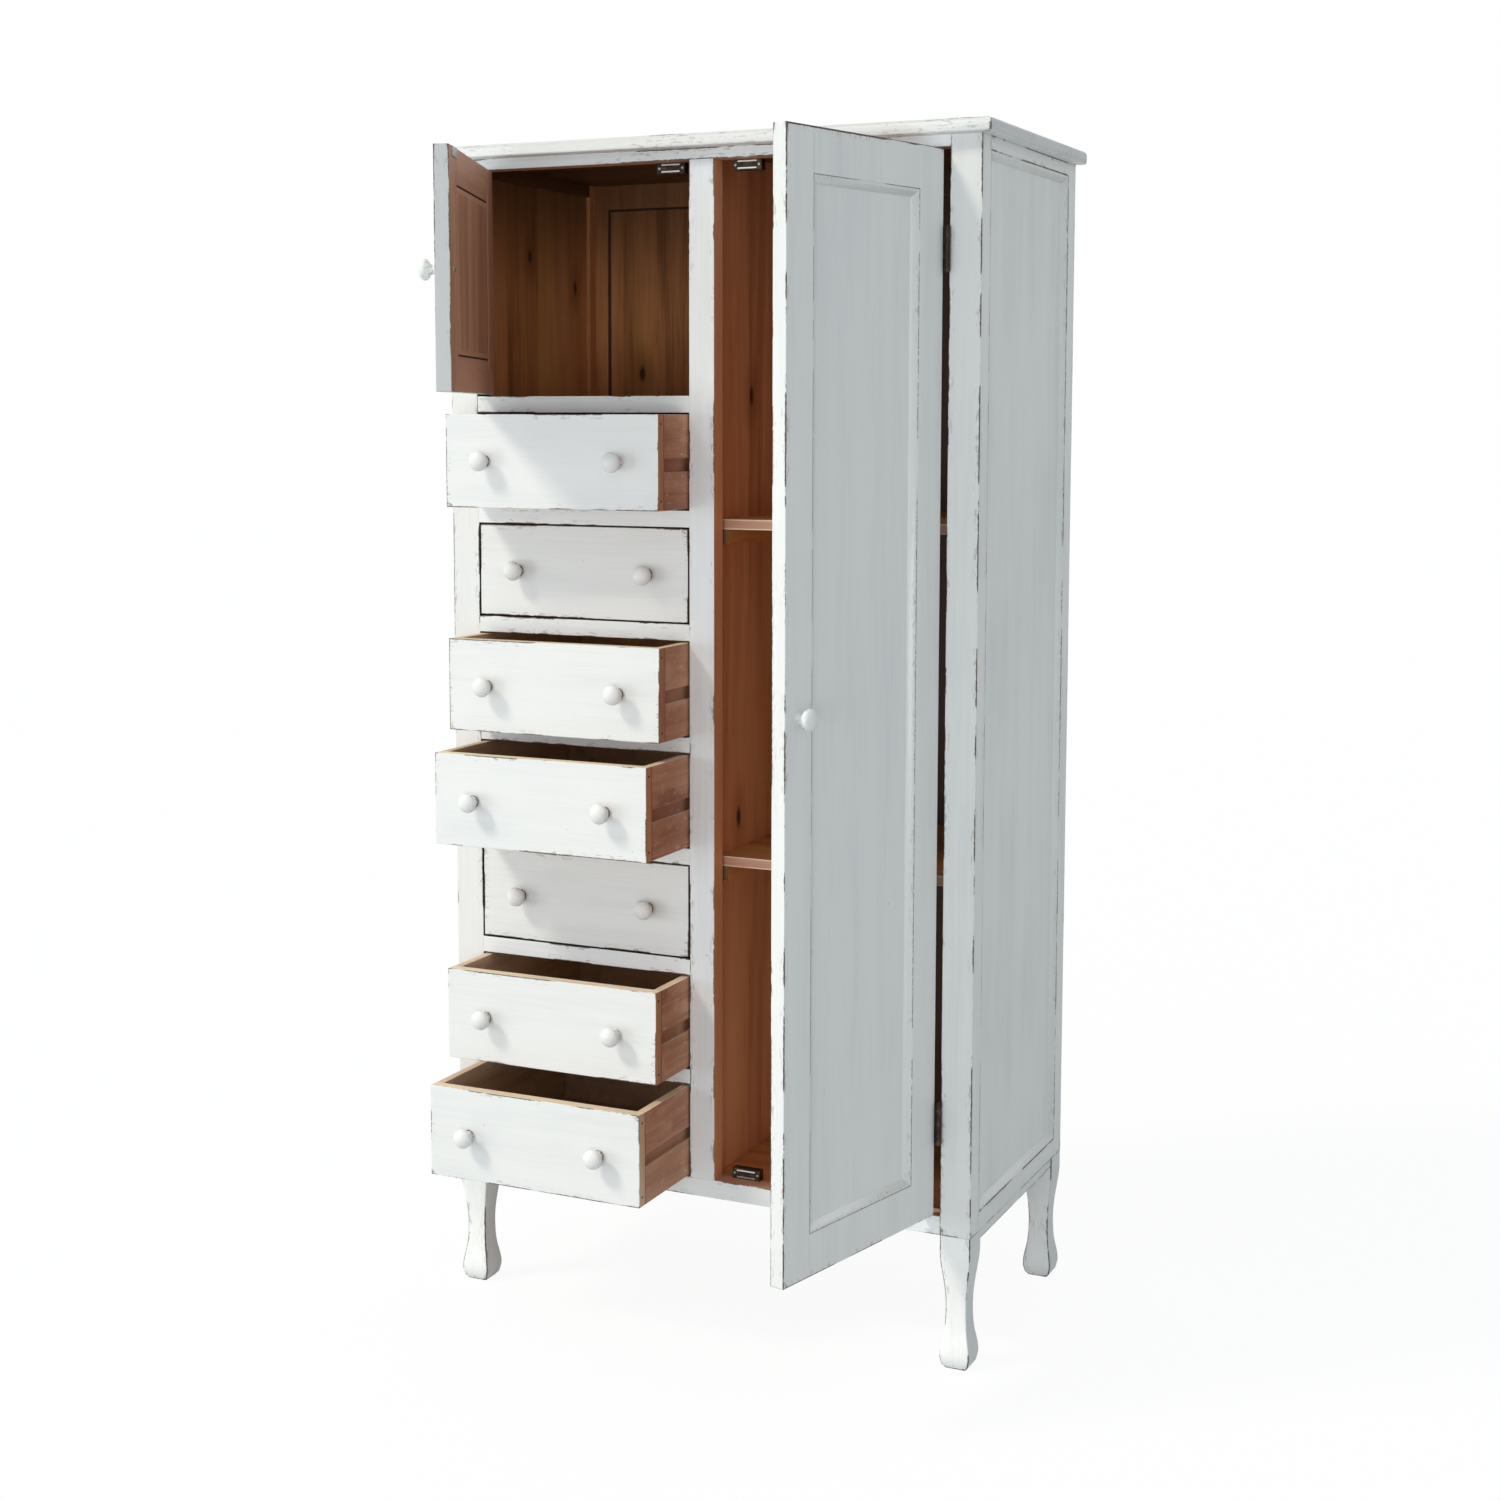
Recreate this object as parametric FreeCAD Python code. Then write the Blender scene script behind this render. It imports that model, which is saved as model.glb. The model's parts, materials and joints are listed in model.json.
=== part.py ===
"""Tall painted cabinet: a small cupboard over seven drawers beside a narrow shelved wardrobe, on shaped legs.

Millimetres, +Z up. The origin is on the floor, midway between the sides, and midway between the back and
the front edge of the open tall door. The front of the cabinet looks towards -Y.
The doors and drawers stand as far open as they are usually shown.
"""
import FreeCAD, Part
import math
import os

from FreeCAD import Vector

# Case
case_width = 865.0
case_depth = 442.5
leg_height = 202.0
case_height = 1578.0
top_thickness = 20.0
top_overhang = 17.5
top_upper_round = 7.0
top_lower_round = 4.0

# Front frame
front_post_width = 47.0
front_post_depth = 37.0
centre_stile_width = 41.0
front_frame_thickness = 30.0
front_bottom_rail_height = 28.0
front_top_rail_height = 16.5
drawer_rail_height = 25.0
drawer_opening_height = 145.0
drawer_count = 7
tenon_length = 12.0
tenon_shoulder = 4.0
mortise_clearance = 1.0

# Side frames
side_frame_thickness = 22.0
rear_post_depth = 37.0
side_top_rail_height = 20.0
side_bottom_rail_height = 30.0
side_panel_thickness = 8.0

# Panels in their frames
panel_recess = 8.0
panel_groove_depth = 8.0
panel_edge_clearance = 1.5
moulding_width = 12.0
moulding_lip = 2.0
# Middle of the moulding's curve, as shares of its width and of the recess
hollow_shares = (0.62, 0.42)

# Back
back_thickness = 18.0
back_stile_width = 24.0
back_centre_stile_width = 60.0
back_rail_height = 40.0
back_panel_recess = 5.0
back_panel_thickness = 6.0

# Inside boards
partition_thickness = 18.0
floor_thickness = 16.0
shelf_thickness = 15.5
lower_shelf_rise = 496.0
upper_shelf_rise = 1007.0
cleat_height = 22.0
cleat_width = 18.0

# Legs and the aprons between them
leg_width = 47.0
leg_block_height = 15.0
apron_height = 15.0
apron_thickness = 18.0
apron_inset = 2.0
# Height and half width of the leg below its block, as shares of the height there and of half the leg's width
leg_profile_shares = ((1.0, 1.0), (0.88, 0.97), (0.74, 0.83), (0.58, 0.70), (0.42, 0.69),
                      (0.28, 0.78), (0.16, 0.95), (0.09, 0.97))
leg_sole_shares = ((0.03, 0.86), (0.0, 0.66))

# Doors
door_thickness = 22.0
door_gap = 3.0
door_stile_width = 58.0
door_rail_width = 60.0
tall_door_open_angle = 76.5
small_door_open_angle = 68.0

# Butt hinges
hinge_height = 62.0
hinge_leaf_thickness = 1.3
hinge_leaf_width = 20.0
hinge_knuckle_radius = 4.5
hinge_knuckle_count = 5
hinge_knuckle_gap = 0.4
hinge_pin_radius = 2.2
hinge_pin_clearance = 0.06
hinge_pin_head_radius = 3.6
hinge_pin_head_height = 1.5
hinge_pin_offset = 6.0
hinge_swing_clearance = 0.5
tall_hinge_inset = 138.0
small_hinge_inset = 80.0

# Magnetic catches and their strike plates
catch_width = 46.0
catch_height = 16.0
catch_depth = 13.0
catch_inset = 42.0
catch_plate_width = 30.0
catch_plate_thickness = 2.0
catch_plate_spacing = 10.0
catch_plate_proud = 0.8
catch_slot_depth = 10.0
catch_gap = 0.3
strike_width = 40.0
strike_height = 14.0
strike_thickness = 1.2

# Drawers
drawer_gap = 2.5
drawer_length = 400.0
drawer_front_thickness = 18.0
drawer_side_thickness = 13.0
drawer_back_thickness = 12.0
drawer_back_drop = 10.0
drawer_bottom_thickness = 5.0
drawer_bottom_rise = 8.0
drawer_bottom_groove = 5.0
drawer_travel = 300.0
drawer_pull_shares = (0.32, 0.0, 0.315, 0.457, 0.0, 0.36, 0.54)
runner_groove_height = 20.0
runner_groove_depth = 6.0
runner_level_share = 0.47
runner_top_clearance = 0.3
runner_bottom_clearance = 1.0
runner_side_clearance = 0.8

# Knobs
knob_base_radius = 9.5
knob_base_height = 2.5
knob_neck_radius = 6.8
knob_head_radius = 15.0
knob_head_half_height = 9.5
knob_rim_radius = 6.5
knob_length = 28.0
knob_spacing = 224.0
knob_inset = 29.0

# How far a cutting shape runs past what it cuts
overrun = 1.0


# Places worked out from the sizes above
half_width = case_width / 2
case_bottom = leg_height
case_top = leg_height + case_height
column_width = (case_width - 2 * front_post_width - centre_stile_width) / 2
opening_bottom = case_bottom + front_bottom_rail_height
opening_top = case_top - front_top_rail_height
drawer_pitch = drawer_opening_height + drawer_rail_height
cupboard_bottom = opening_bottom + drawer_count * drawer_pitch
opening_outer = half_width - front_post_width
opening_inner = centre_stile_width / 2
side_inner = half_width - side_frame_thickness
panel_inner = half_width - panel_recess - side_panel_thickness
pin_side_offset = door_gap / 2
door_width = column_width - 2 * door_gap
tall_door_reach = door_width + pin_side_offset
tall_angle = math.radians(tall_door_open_angle)
front_reach = (tall_door_reach * math.sin(tall_angle)
               - hinge_pin_offset * math.cos(tall_angle) + hinge_pin_offset)
front = (front_reach - case_depth) / 2
back = front + case_depth
back_inner = back - back_thickness
rear_post_front = back - rear_post_depth
post_back = front + front_post_depth
frame_back = front + front_frame_thickness
wardrobe_floor = opening_bottom


def block(x, y, z):
    """A box between two values on each axis."""
    corner = Vector(min(x), min(y), min(z))
    return Part.makeBox(max(x) - min(x), max(y) - min(y), max(z) - min(z), corner)


def mirrored(shape):
    """The same piece on the other side of the cabinet."""
    return shape.mirror(Vector(0, 0, 0), Vector(1, 0, 0))


def both_sides(shape):
    return [shape, mirrored(shape)]


def group(solids):
    return Part.makeCompound(solids)


def make_top_board():
    """The top, rounded along its front and sides and square at the back."""
    reach = half_width + top_overhang
    board = block((-reach, reach), (front - top_overhang, back), (case_top, case_top + top_thickness))
    for level, radius in ((case_top + top_thickness, top_upper_round), (case_top, top_lower_round)):
        board = board.makeFillet(radius, free_edges(board, level))
    return board


def free_edges(board, level):
    """The edges of the top that lie level at a height, but for the one along the back."""
    edges = []
    for edge in board.Edges:
        box = edge.BoundBox
        lies_there = box.ZLength < overrun and abs(box.ZMin - level) < overrun
        if lies_there and box.YMin < back - overrun:
            edges.append(edge)
    return edges


# Front frame

def tenon(x, z):
    """The reduced end of a rail, which enters a post or stile."""
    return block(x, (front + tenon_shoulder, frame_back - tenon_shoulder), z)


def drawer_level(number):
    """Lower edge of a drawer's opening; drawer 1 is the top one."""
    return opening_bottom + (drawer_count - number) * drawer_pitch


def drawer_rail_levels():
    """Lower and upper edge of the rail above each drawer."""
    levels = []
    for number in range(1, drawer_count + 1):
        low = drawer_level(number) + drawer_opening_height
        levels.append((low, low + drawer_rail_height))
    return levels


def tenon_span(low, high):
    return low + tenon_shoulder, high - tenon_shoulder


def make_drawer_rails():
    rails = []
    for low, high in drawer_rail_levels():
        rail = block((-opening_outer, -opening_inner), (front, frame_back), (low, high))
        ends = tenon((-opening_outer - tenon_length, -opening_inner + tenon_length), tenon_span(low, high))
        rails.append(rail.fuse(ends).removeSplitter())
    return group(rails)


def make_front_rail(low, high):
    rail = block((-opening_outer, opening_outer), (front, frame_back), (low, high))
    reach = opening_outer + tenon_length
    return rail.fuse(tenon((-reach, reach), tenon_span(low, high))).removeSplitter()


def make_front_post(side):
    """Corner post: groove for the side panel, mortises for the rails that meet it."""
    x = (side * opening_outer, side * half_width)
    post = block(x, (front, post_back), (case_bottom, case_top))
    groove_x = (side * panel_inner, side * (half_width - panel_recess))
    post = post.cut(block(groove_x, (post_back - panel_groove_depth, post_back + overrun),
                          (case_bottom - overrun, case_top + overrun)))
    mortise_x = (side * (opening_outer - overrun),
                 side * (opening_outer + tenon_length + mortise_clearance))
    spans = [(case_bottom, opening_bottom), (opening_top, case_top)]
    if side < 0:
        spans += drawer_rail_levels()
    for low, high in spans:
        post = post.cut(tenon(mortise_x, tenon_span(low, high)))
    return post


def make_centre_stile():
    stile = block((-opening_inner, opening_inner), (front, frame_back), (opening_bottom, opening_top))
    mortise_x = (-opening_inner - overrun, -opening_inner + tenon_length + mortise_clearance)
    for low, high in drawer_rail_levels():
        stile = stile.cut(tenon(mortise_x, tenon_span(low, high)))
    return stile


# Sides

def side_opening():
    """The space inside one side frame, as spans along Y and Z."""
    y = (post_back, rear_post_front)
    z = (case_bottom + side_bottom_rail_height, case_top - side_top_rail_height)
    return y, z


def side_panel_box(clearance):
    """The right panel with its edges in the grooves, or the room that the grooves leave for it."""
    y, z = side_opening()
    reach = panel_groove_depth - clearance
    return block((panel_inner, half_width - panel_recess),
                 (y[0] - reach, y[1] + reach), (z[0] - reach, z[1] + reach))


def make_rear_posts():
    post = block((side_inner, half_width), (rear_post_front, back), (case_bottom, case_top))
    return group(both_sides(post.cut(side_panel_box(0))))


def make_side_rails():
    y, z = side_opening()
    lower = block((side_inner, half_width), y, (case_bottom, z[0]))
    upper = block((side_inner, half_width), y, (z[1], case_top))
    room = side_panel_box(0)
    return group(both_sides(lower.cut(room)) + both_sides(upper.cut(room)))


def make_side_panels():
    return group(both_sides(side_panel_box(panel_edge_clearance)))


def moulding_strips(u, v, place):
    """Four mitred strips round a recessed panel.

    u and v are the spans of the frame's opening. place(a, b, depth) gives the point at a, b that lies
    that far behind the frame's face.
    """
    corners = [(u[0], v[0]), (u[1], v[0]), (u[1], v[1]), (u[0], v[1])]
    return [moulding_strip(corner, corners[(index + 1) % len(corners)], place)
            for index, corner in enumerate(corners)]


def moulding_strip(start, end, place):
    """One strip from corner to corner: its section drawn out along the frame and mitred at both ends."""
    along = (sign(end[0] - start[0]), sign(end[1] - start[1]))
    inward = (-along[1], along[0])

    def at(corner, step, run, depth):
        """The point that lies a step in from a corner and a run along the frame."""
        return place(corner[0] + step * inward[0] + run * along[0],
                     corner[1] + step * inward[1] + run * along[1], depth)

    section = moulding_section(lambda step, depth: at(start, step, 0, depth))
    bar = section.extrude(at(end, 0, 0, 0) - at(start, 0, 0, 0))
    reach = moulding_width + overrun
    outline = [at(start, -overrun, -overrun, -overrun), at(end, -overrun, overrun, -overrun),
               at(end, reach, -reach, -overrun), at(start, reach, reach, -overrun)]
    mitred = Part.Face(Part.makePolygon(outline + outline[:1]))
    through = at(start, 0, 0, panel_recess + 2 * overrun) - at(start, 0, 0, 0)
    return bar.common(mitred.extrude(through)).Solids[0]


def moulding_section(at):
    """A lip, a quarter hollow and a foot on the panel; at(step, depth) places a point of the section."""
    face = at(0, 0)
    lip = at(moulding_lip, moulding_lip / 2)
    hollow = at(moulding_width * hollow_shares[0], panel_recess * hollow_shares[1])
    toe = at(moulding_width, panel_recess - moulding_lip / 2)
    foot = at(moulding_width, panel_recess)
    heel = at(0, panel_recess)
    edges = [Part.makeLine(face, lip), Part.Arc(lip, hollow, toe).toShape(), Part.makeLine(toe, foot),
             Part.makeLine(foot, heel), Part.makeLine(heel, face)]
    return Part.Face(Part.Wire(edges))


def sign(value):
    return (value > 0) - (value < 0)


def make_side_mouldings():
    y, z = side_opening()
    strips = moulding_strips(y, z, lambda a, b, depth: Vector(half_width - depth, a, b))
    return group(strips + [mirrored(strip) for strip in strips])


# Back

def back_openings():
    """Spans along X of the two back panels, and their span along Z."""
    outer = side_inner - back_stile_width
    inner = back_centre_stile_width / 2
    z = (case_bottom + back_rail_height, case_top - back_rail_height)
    return [(-outer, -inner), (inner, outer)], z


def back_panel_box(x, z, clearance):
    reach = panel_groove_depth - clearance
    y = back_inner + back_panel_recess
    return block((x[0] - reach, x[1] + reach), (y, y + back_panel_thickness), (z[0] - reach, z[1] + reach))


def make_back_frame():
    spans, z = back_openings()
    y = (back_inner, back)
    inner = back_centre_stile_width / 2
    members = [block((-side_inner, side_inner), y, (case_bottom, z[0])),
               block((-side_inner, side_inner), y, (z[1], case_top)),
               block((-inner, inner), y, z)]
    members += both_sides(block((side_inner - back_stile_width, side_inner), y, z))
    for x in spans:
        room = back_panel_box(x, z, 0)
        members = [member.cut(room) for member in members]
    return group(members)


def make_back_panels():
    spans, z = back_openings()
    return group([back_panel_box(x, z, panel_edge_clearance) for x in spans])


# Inside boards

def make_partition():
    half = partition_thickness / 2
    return block((-half, half), (frame_back, back_inner), (wardrobe_floor, case_top))


def corner_room():
    """The front posts, which stand deeper than the rails, as plain boxes."""
    x = (opening_outer, half_width)
    return group(both_sides(block(x, (front, post_back), (case_bottom, case_top))))


def make_bottom_board():
    board = block((-side_inner, side_inner), (frame_back, back_inner),
                  (wardrobe_floor - floor_thickness, wardrobe_floor))
    return board.cut(corner_room())


def make_cupboard_floor():
    board = block((-side_inner, -partition_thickness / 2), (frame_back, back_inner),
                  (cupboard_bottom - floor_thickness, cupboard_bottom))
    return board.cut(corner_room())


def shelf_levels():
    """Upper faces of the wardrobe shelves."""
    return [wardrobe_floor + lower_shelf_rise, wardrobe_floor + upper_shelf_rise]


def make_shelves():
    shelves = []
    for top in shelf_levels():
        shelves.append(block((partition_thickness / 2, side_inner), (post_back, back_inner),
                             (top - shelf_thickness, top)))
    return group(shelves)


def make_shelf_cleats():
    """Battens that carry the shelves on the partition and on the side."""
    cleats = []
    for top in shelf_levels():
        z = (top - shelf_thickness - cleat_height, top - shelf_thickness)
        inner = partition_thickness / 2
        cleats.append(block((inner, inner + cleat_width), (post_back, back_inner), z))
        cleats.append(block((panel_inner - cleat_width, panel_inner), (post_back, rear_post_front), z))
    return group(cleats)


# Legs

def leg_outline():
    """Right half of the leg's front view from the block down to the sole, as points (half width, height)."""
    height = leg_height - leg_block_height
    half = leg_width / 2
    curve = [Vector(half * wide, 0, height * high) for high, wide in leg_profile_shares]
    sole = [Vector(half * wide, 0, height * high) for high, wide in leg_sole_shares]
    return curve, sole


def leg_slab():
    """The leg's profile, cut straight through a square blank along Y."""
    curve, sole = leg_outline()
    half = leg_width / 2

    def left(point):
        return Vector(-point.x, 0, point.z)

    right_side = Part.BSplineCurve()
    right_side.interpolate(curve)
    left_side = Part.BSplineCurve()
    left_side.interpolate([left(point) for point in reversed(curve)])
    under = [curve[-1]] + sole
    edges = [right_side.toShape()]
    edges += [Part.makeLine(under[i], under[i + 1]) for i in range(len(under) - 1)]
    edges.append(Part.makeLine(sole[-1], left(sole[-1])))
    edges += [Part.makeLine(left(under[i + 1]), left(under[i])) for i in reversed(range(len(under) - 1))]
    edges.append(left_side.toShape())
    shoulder = curve[0].z
    top_right = Vector(half, 0, leg_height)
    top_left = Vector(-half, 0, leg_height)
    edges.append(Part.makeLine(Vector(-half, 0, shoulder), top_left))
    edges.append(Part.makeLine(top_left, top_right))
    edges.append(Part.makeLine(top_right, Vector(half, 0, shoulder)))
    face = Part.Face(Part.Wire(Part.sortEdges(edges)[0]))
    slab = face.extrude(Vector(0, leg_width, 0))
    slab.translate(Vector(0, -leg_width / 2, 0))
    return slab


def make_legs(y):
    """A pair of legs, each sawn to the same profile from two sides."""
    slab = leg_slab()
    turned = slab.copy()
    turned.rotate(Vector(0, 0, 0), Vector(0, 0, 1), 90)
    leg = slab.common(turned).removeSplitter()
    leg.translate(Vector(half_width - leg_width / 2, y, 0))
    return both_sides(leg)


def make_side_aprons():
    outer = half_width - apron_inset
    apron = block((outer - apron_thickness, outer), (front + leg_width, back - leg_width),
                  (leg_height - apron_height, leg_height))
    return group(both_sides(apron))


# Doors, built closed and turned to where they stand open

def door_frame(x, z):
    """Two stiles and two rails, rebated from behind for the panel."""
    y = (front, front + door_thickness)
    inner_x, inner_z = door_opening(x, z)
    room = door_panel_box(x, z, 0, overrun)
    members = [block((x[0], inner_x[0]), y, z), block((inner_x[1], x[1]), y, z),
               block(inner_x, y, (z[0], inner_z[0])), block(inner_x, y, (inner_z[1], z[1]))]
    return group([member.cut(room) for member in members])


def door_opening(x, z):
    return ((x[0] + door_stile_width, x[1] - door_stile_width),
            (z[0] + door_rail_width, z[1] - door_rail_width))


def door_panel_box(x, z, clearance, past=0):
    """The panel fills its rebate from the moulding to the inner face of the frame, or past that face."""
    inner_x, inner_z = door_opening(x, z)
    reach = panel_groove_depth - clearance
    y = (front + panel_recess, front + door_thickness + past)
    return block((inner_x[0] - reach, inner_x[1] + reach), y, (inner_z[0] - reach, inner_z[1] + reach))


def door_moulding(x, z):
    inner_x, inner_z = door_opening(x, z)
    return group(moulding_strips(inner_x, inner_z, lambda a, b, depth: Vector(a, front + depth, b)))


def knob(x, y, z):
    """A turned mushroom knob that stands out towards -Y from the face at y.

    The crown is part of a sphere centred on the knob's axis, and the rim's arc runs smoothly into it.
    """
    level = knob_length - knob_head_half_height
    rim = knob_head_radius - knob_rim_radius
    rise = knob_head_half_height - knob_rim_radius
    crown_radius = (rim ** 2 + knob_head_half_height ** 2 - knob_rim_radius ** 2) / (2 * rise)
    crown_level = knob_length - crown_radius
    stretch = crown_radius / (crown_radius - knob_rim_radius)
    meeting = Vector(rim * stretch, crown_level + (level - crown_level) * stretch, 0)
    half_turn = math.asin(meeting.x / crown_radius) / 2
    crown_middle = Vector(crown_radius * math.sin(half_turn),
                          crown_level + crown_radius * math.cos(half_turn), 0)
    head_back = Vector(rim, level - knob_rim_radius, 0)
    waist = Vector(knob_neck_radius, (knob_base_height + head_back.y) / 2, 0)
    foot = Vector(knob_base_radius, 0, 0)
    shoulder = Vector(knob_base_radius, knob_base_height, 0)
    tip = Vector(0, knob_length, 0)
    edges = [Part.makeLine(Vector(0, 0, 0), foot), Part.makeLine(foot, shoulder),
             Part.Arc(shoulder, waist, head_back).toShape(),
             Part.Arc(head_back, Vector(knob_head_radius, level, 0), meeting).toShape(),
             Part.Arc(meeting, crown_middle, tip).toShape(),
             Part.makeLine(tip, Vector(0, 0, 0))]
    solid = Part.Face(Part.Wire(edges)).revolve(Vector(0, 0, 0), Vector(0, 1, 0), 360)
    solid.rotate(Vector(0, 0, 0), Vector(0, 0, 1), 180)
    solid.translate(Vector(x, y, z))
    return solid


# Hinges, made for the right-hand side: the case is on +X and the door on -X of the pin

def hinge_axis():
    """The tall door's pin line; the small door's is its mirror image."""
    return Vector(opening_outer - pin_side_offset, front - hinge_pin_offset, 0)


def upright(radius, low, high):
    axis = hinge_axis()
    return Part.makeCylinder(radius, high - low, Vector(axis.x, axis.y, low))


def hinge_leaf(low, on_case):
    """One leaf with its knuckles, its lower end at the height low."""
    axis = hinge_axis()
    high = low + hinge_height
    y = (axis.y, front + hinge_leaf_width)
    if on_case:
        x = (opening_outer - hinge_leaf_thickness, opening_outer)
    else:
        x = (opening_outer - door_gap, opening_outer - door_gap + hinge_leaf_thickness)
    leaf = block(x, y, (low, high))
    step = (hinge_height + hinge_knuckle_gap) / hinge_knuckle_count
    own = 0 if on_case else 1
    for index in range(hinge_knuckle_count):
        start = low + index * step
        end = start + step - hinge_knuckle_gap
        if index % 2 == own:
            leaf = leaf.fuse(upright(hinge_knuckle_radius, start, end))
        else:
            leaf = leaf.cut(upright(hinge_knuckle_radius + hinge_swing_clearance,
                                    start - hinge_knuckle_gap, end + hinge_knuckle_gap))
    bore = upright(hinge_pin_radius + hinge_pin_clearance, low - overrun, high + overrun)
    return leaf.cut(bore).removeSplitter()


def hinge_pin(low):
    """The pin and its two heads, which rest on the outer knuckles."""
    high = low + hinge_height
    pin = upright(hinge_pin_radius, low - hinge_pin_head_height, high + hinge_pin_head_height)
    for start in (low - hinge_pin_head_height, high):
        pin = pin.fuse(upright(hinge_pin_head_radius, start, start + hinge_pin_head_height))
    return pin.removeSplitter()


def hinge_levels(z, inset):
    """Lower ends of a door's two hinges."""
    return [z[0] + inset - hinge_height / 2, z[1] - inset - hinge_height / 2]


# Catches and strikes

def catch_x():
    """Middle of the wardrobe's catches along X; the small cupboard's is its mirror image."""
    return opening_inner + catch_inset


def catch_places():
    """Middle along X and span along Z of each catch: small cupboard, wardrobe top, wardrobe floor."""
    upper = (opening_top - catch_height, opening_top)
    lower = (wardrobe_floor, wardrobe_floor + catch_height)
    return [(-catch_x(), upper), (catch_x(), upper), (catch_x(), lower)]


def make_catches():
    """Each catch is a slotted housing with two steel plates that stand a little proud of it."""
    solids = []
    plate_front = front + door_thickness + strike_thickness + catch_gap
    body_front = plate_front + catch_plate_proud
    for x, z in catch_places():
        middle = (z[0] + z[1]) / 2
        body = block((x - catch_width / 2, x + catch_width / 2), (body_front, body_front + catch_depth), z)
        for side in (-1, 1):
            low = middle + side * catch_plate_spacing / 2 - catch_plate_thickness / 2
            plate = block((x - catch_plate_width / 2, x + catch_plate_width / 2),
                          (plate_front, body_front + catch_slot_depth), (low, low + catch_plate_thickness))
            body = body.cut(plate)
            solids.append(plate)
        solids.append(body)
    return group(solids)


def strike(x, edge, inward):
    """The plate at the edge of a door's inner face that the catch holds; inward is 1 up or -1 down."""
    y = front + door_thickness
    return block((x - strike_width / 2, x + strike_width / 2), (y, y + strike_thickness),
                 (edge, edge + inward * strike_height))


def opened(shape, axis, angle):
    turned = shape.copy()
    turned.rotate(axis, Vector(0, 0, 1), angle)
    return turned


def tall_door_nodes():
    x = (opening_inner + door_gap, opening_outer - door_gap)
    z = (wardrobe_floor + door_gap, opening_top - door_gap)
    levels = hinge_levels(z, tall_hinge_inset)
    strikes = [strike(catch_x(), z[0], 1), strike(catch_x(), z[1], -1)]
    leaves = [hinge_leaf(low, False) for low in levels]
    pieces = {"tall_door_frame": door_frame(x, z),
              "tall_door_panel": door_panel_box(x, z, panel_edge_clearance),
              "tall_door_moulding": door_moulding(x, z),
              "tall_door_knob": knob(x[0] + knob_inset, front, (z[0] + z[1]) / 2),
              "tall_door_hinge_leaves": group(leaves),
              "tall_door_strikes": group(strikes)}
    axis = hinge_axis()
    return {name: opened(shape, axis, tall_door_open_angle) for name, shape in pieces.items()}


def small_door_nodes():
    x = (opening_inner + door_gap, opening_outer - door_gap)
    z = (cupboard_bottom + door_gap, opening_top - door_gap)
    levels = hinge_levels(z, small_hinge_inset)
    mirror_x = (-x[1], -x[0])
    leaves = [mirrored(hinge_leaf(low, False)) for low in levels]
    pieces = {"small_door_frame": door_frame(mirror_x, z),
              "small_door_panel": door_panel_box(mirror_x, z, panel_edge_clearance),
              "small_door_moulding": door_moulding(mirror_x, z),
              "small_door_knob": knob(mirror_x[1] - knob_inset, front, (z[0] + z[1]) / 2),
              "small_door_hinge_leaves": group(leaves),
              "small_door_strike": strike(-catch_x(), z[1], -1)}
    axis = hinge_axis()
    left_axis = Vector(-axis.x, axis.y, 0)
    return {name: opened(shape, left_axis, -small_door_open_angle) for name, shape in pieces.items()}


def case_hinge_solids():
    """The leaves on the case and their pins, for both doors."""
    tall = hinge_levels((wardrobe_floor + door_gap, opening_top - door_gap), tall_hinge_inset)
    small = hinge_levels((cupboard_bottom + door_gap, opening_top - door_gap), small_hinge_inset)
    leaves = [hinge_leaf(low, True) for low in tall]
    pins = [hinge_pin(low) for low in tall]
    leaves += [mirrored(hinge_leaf(low, True)) for low in small]
    pins += [mirrored(hinge_pin(low)) for low in small]
    return leaves, pins


# Drawers

def drawer_box(number):
    """Spans of a closed drawer's front along X and Z."""
    low = drawer_level(number)
    x = (-opening_outer + drawer_gap, -opening_inner - drawer_gap)
    z = (low + drawer_gap, low + drawer_opening_height - drawer_gap)
    return x, z


def groove_span(z):
    """Height of the runner groove in a drawer's sides."""
    middle = z[0] + (z[1] - z[0]) * runner_level_share
    return middle - runner_groove_height / 2, middle + runner_groove_height / 2


def drawer_bottom_box(x, z, clearance):
    reach = drawer_side_thickness - drawer_bottom_groove + clearance
    y = (front + drawer_front_thickness - drawer_bottom_groove + clearance, front + drawer_length)
    low = z[0] + drawer_bottom_rise
    return block((x[0] + reach, x[1] - reach), y, (low, low + drawer_bottom_thickness))


def drawer_nodes(number):
    x, z = drawer_box(number)
    y_side = (front + drawer_front_thickness, front + drawer_length)
    room = drawer_bottom_box(x, z, 0)
    face = block(x, (front, front + drawer_front_thickness), z).cut(room)
    groove = groove_span(z)
    sides = []
    for outer, inner in ((x[0], x[0] + drawer_side_thickness), (x[1], x[1] - drawer_side_thickness)):
        toward = sign(inner - outer)
        side = block((outer, inner), y_side, z).cut(room)
        cut_x = (outer - toward * overrun, outer + toward * runner_groove_depth)
        sides.append(side.cut(block(cut_x, (y_side[0], y_side[1] + overrun), groove)))
    back_low = z[0] + drawer_bottom_rise + drawer_bottom_thickness
    box_back = block((x[0] + drawer_side_thickness, x[1] - drawer_side_thickness),
                     (y_side[1] - drawer_back_thickness, y_side[1]), (back_low, z[1] - drawer_back_drop))
    middle_x = (x[0] + x[1]) / 2
    middle_z = (z[0] + z[1]) / 2
    knobs = [knob(middle_x + side * knob_spacing / 2, front, middle_z) for side in (-1, 1)]
    stem = "drawer_%d_" % number
    pieces = {stem + "front": face,
              stem + "box": group(sides + [box_back]),
              stem + "bottom": drawer_bottom_box(x, z, panel_edge_clearance),
              stem + "knobs": group(knobs)}
    pulled = Vector(0, -drawer_travel * drawer_pull_shares[number - 1], 0)
    for shape in pieces.values():
        shape.translate(pulled)
    return pieces


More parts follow.
